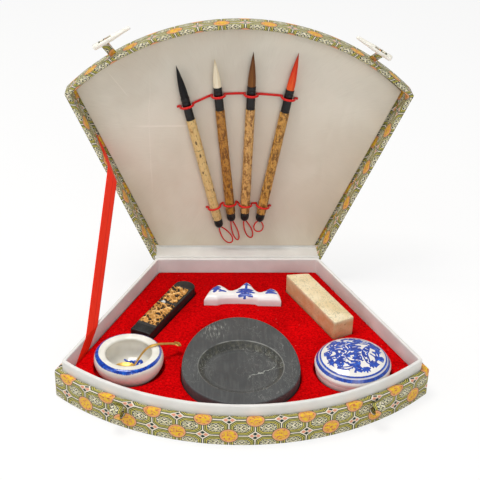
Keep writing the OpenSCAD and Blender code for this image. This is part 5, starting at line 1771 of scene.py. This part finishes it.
def scroll_paint(x, y, z, nz):
    """Scroll and flower: two thick curling stems, leaf bursts, blossoms, and two rings
    near the edge with a pale band between them. Pale veins part the thickest paint along a
    ripple's zero line, and a finer scroll follows another's over half of the field."""
    strokes = [[(-14.9, 7, 1.2), (-10.5, 8.8, 2.2), (-6.8, 8.7, 2.5), (-5.6, 4, 2.2),
                (-8.7, -1.7, 2.3), (-8.2, -7.5, 2.2), (-5, -12.2, 2.1), (2.6, -12.2, 1.2)],
               [(-6.8, 20, 0.8), (0.7, 20.9, 1.7), (8.7, 18.3, 1.8), (16.7, 13, 0.8)],
               [(12, 7, 1.6), (10, 2.6, 2.4), (8.7, -1.7, 2.2), (9.4, -7, 1.9),
                (11, -12.2, 1.4), (15.8, -11.3, 0.7)]]
    strokes += [[(-20, 11, 0.5), (-15.5, 14.6, 1.5), (-9.5, 15.4, 1.1), (-4, 13, 0.5)],
                [(1.5, 16, 0.5), (6.5, 13.6, 1.3), (11.5, 12.4, 0.7)],
                [(-21, -5.5, 0.5), (-15.5, -5.2, 1.3), (-12.6, -1, 0.8)],
                [(-3, 3.4, 0.6), (1.2, 7.4, 1.3), (5.6, 8.2, 0.8)],
                [(0, -2.6, 0.6), (3.6, -5, 1.4), (4.6, -9, 0.8)],
                [(15.6, 1.2, 0.6), (18.8, -1.4, 1.3), (17.6, -6.6, 0.8)],
                [(-14, -17, 0.5), (-7.5, -18.4, 1.3), (-1.5, -16.6, 0.6)]]
    for lx, ly, aim, spread, length, count in (
            (0.7, 2.6, 70, 220, 5.4, 8), (1.7, -8.7, 80, 180, 4.6, 7),
            (12.5, -13, -20, 170, 4.6, 6),
            (-14.9, 7, 170, 150, 5.2, 6), (14.6, 7.6, 40, 150, 5, 6), (-9, 11.5, 100, 160, 4.4, 6),
            (-10.5, -9, 200, 160, 4.6, 6), (5, 15.8, 90, 170, 4.4, 6),
            (-2, -14.5, 270, 170, 4.6, 6),
            (-17.5, -9.5, 190, 150, 4, 5), (18.5, 3.4, 0, 150, 4, 5), (8, -18, 280, 150, 4, 5)):
        strokes += spray(lx, ly, aim, spread, length, count)
    for bx, by, size in ((-20.5, 0.9, 3.0), (-12, -13.6, 2.6), (20.4, 9.2, 2.6), (21.8, -6, 2.8),
                         (-14.5, 18.4, 2.3), (3, -20, 2.3), (4.6, 3.2, 2.0), (-1.4, 10, 2.0)):
        strokes += blossom(bx, by, size)
    far = np.hypot(x, y)
    rings = np.minimum(np.abs(far - 26.5) - 0.6, np.abs(far - 29.0) - 0.8)
    between = np.abs(far - 27.8) - 0.9
    outer = (nz > 0.02) & (z > PASTE_Z + PASTE_H + 0.5)
    scroll = np.where(far < 24.6, drawn(x, y, strokes, 4) - 0.5, 9)
    veins = 0.5 - np.abs(ripple(x, y, 6, 71)) * 3
    scroll = np.where(scroll < -1.1, np.maximum(scroll, veins), scroll)
    filler = np.abs(ripple(x, y, 9, 72)) * 5 - 1.2
    scroll = np.minimum(scroll, np.where((far < 23) & (ripple(x, y, 13, 73) > 0.0), filler, 9))
    return np.where(outer, np.minimum(np.minimum(scroll, rings), between), 9)


def scroll_strength(x, y, z, nz):
    """Full cobalt, with a pale wash in the band between the rings."""
    far = np.hypot(x, y)
    return np.where(np.abs(far - 27.65) < 0.5, 0.3, 0.97)


mark(paste_lid, PASTE_AT, cobalt=scroll_paint, strength=scroll_strength)
piece(paste_lid, "paste_lid", "box_glaze", "porcelain", "paste_box_lid")

# The pegs and the paste keep the model's shapes and take fine finishes
for node, look in (("left_peg", "bone"), ("right_peg", "bone"), ("seal_paste", "paste")):
    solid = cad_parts[node]
    if not solid.material_slots:
        solid.data.materials.append(None)
    for socket in solid.material_slots:
        socket.material = looks[look]


# Floor and light

def pale_floor(name, colour):
    """Pale floor: part of what the camera sees of it is plain white, so that the object's
    shadow on it stays faint."""
    look = bpy.data.materials.new(name)
    look.use_nodes = True
    tree = look.node_tree
    shader, out = tree.nodes["Principled BSDF"], tree.nodes["Material Output"]
    shader.inputs["Base Color"].default_value = rgb(colour)
    shader.inputs["Roughness"].default_value = 0.9
    shader.inputs["Specular IOR Level"].default_value = 0.1
    white, mixer = add(tree, "ShaderNodeEmission"), add(tree, "ShaderNodeMixShader")
    rays = add(tree, "ShaderNodeLightPath")
    seen = Wire(tree, rays.outputs["Is Camera Ray"]) * 0.8
    feed(tree, mixer.inputs[0], seen)
    tree.links.new(shader.outputs[0], mixer.inputs[1])
    tree.links.new(white.outputs[0], mixer.inputs[2])
    tree.links.new(mixer.outputs[0], out.inputs["Surface"])
    return look


floor = patch("floor", evened([[-4000, -3500], [4000, -3500], [4000, 4500], [-4000, 4500]], 1000),
              [], 1000, lambda x, y: 0 * x - 0.05)
floor.data.materials.append(pale_floor("floor", "fbfaf8"))

world = bpy.data.worlds.new("studio")
bpy.context.scene.world = world
world.use_nodes = True
tree = world.node_tree
tree.nodes.clear()
out, mixer = add(tree, "ShaderNodeOutputWorld"), add(tree, "ShaderNodeMixShader")
soft, plain, rays = (add(tree, "ShaderNodeBackground"), add(tree, "ShaderNodeBackground"),
                     add(tree, "ShaderNodeLightPath"))
soft.inputs["Color"].default_value = (0.93, 0.96, 1.0, 1)
soft.inputs["Strength"].default_value = 0.42
plain.inputs["Color"].default_value = (1, 1, 1, 1)
tree.links.new(rays.outputs["Is Camera Ray"], mixer.inputs[0])
tree.links.new(soft.outputs[0], mixer.inputs[1])
tree.links.new(plain.outputs[0], mixer.inputs[2])
tree.links.new(mixer.outputs[0], out.inputs["Surface"])


def lamp(name, place, aim, size, power, tint):
    """Square area lamp turned towards a point."""
    light = bpy.data.lights.new(name, "AREA")
    light.shape, light.size, light.energy = "SQUARE", size, power
    light.color = rgb(tint)[:3]
    obj = bpy.data.objects.new(name, light)
    bpy.context.scene.collection.objects.link(obj)
    obj.location = place
    obj.rotation_euler = (Vector(aim) - Vector(place)).to_track_quat("-Z", "Y").to_euler()


lamp("key", (-0.3, 0.05, 1.45), (0, 0, 0.05), 0.55, 13, "fffbf5")
lamp("front", (0.35, -1.35, 0.75), (0, 0.05, 0.1), 0.8, 6.5, "fffdfa")
lamp("side", (-1.2, -0.5, 0.9), (0, 0, 0.08), 0.6, 3, "f6f9ff")

bpy.context.scene.view_settings.view_transform = "Standard"
bpy.context.view_layer.update()
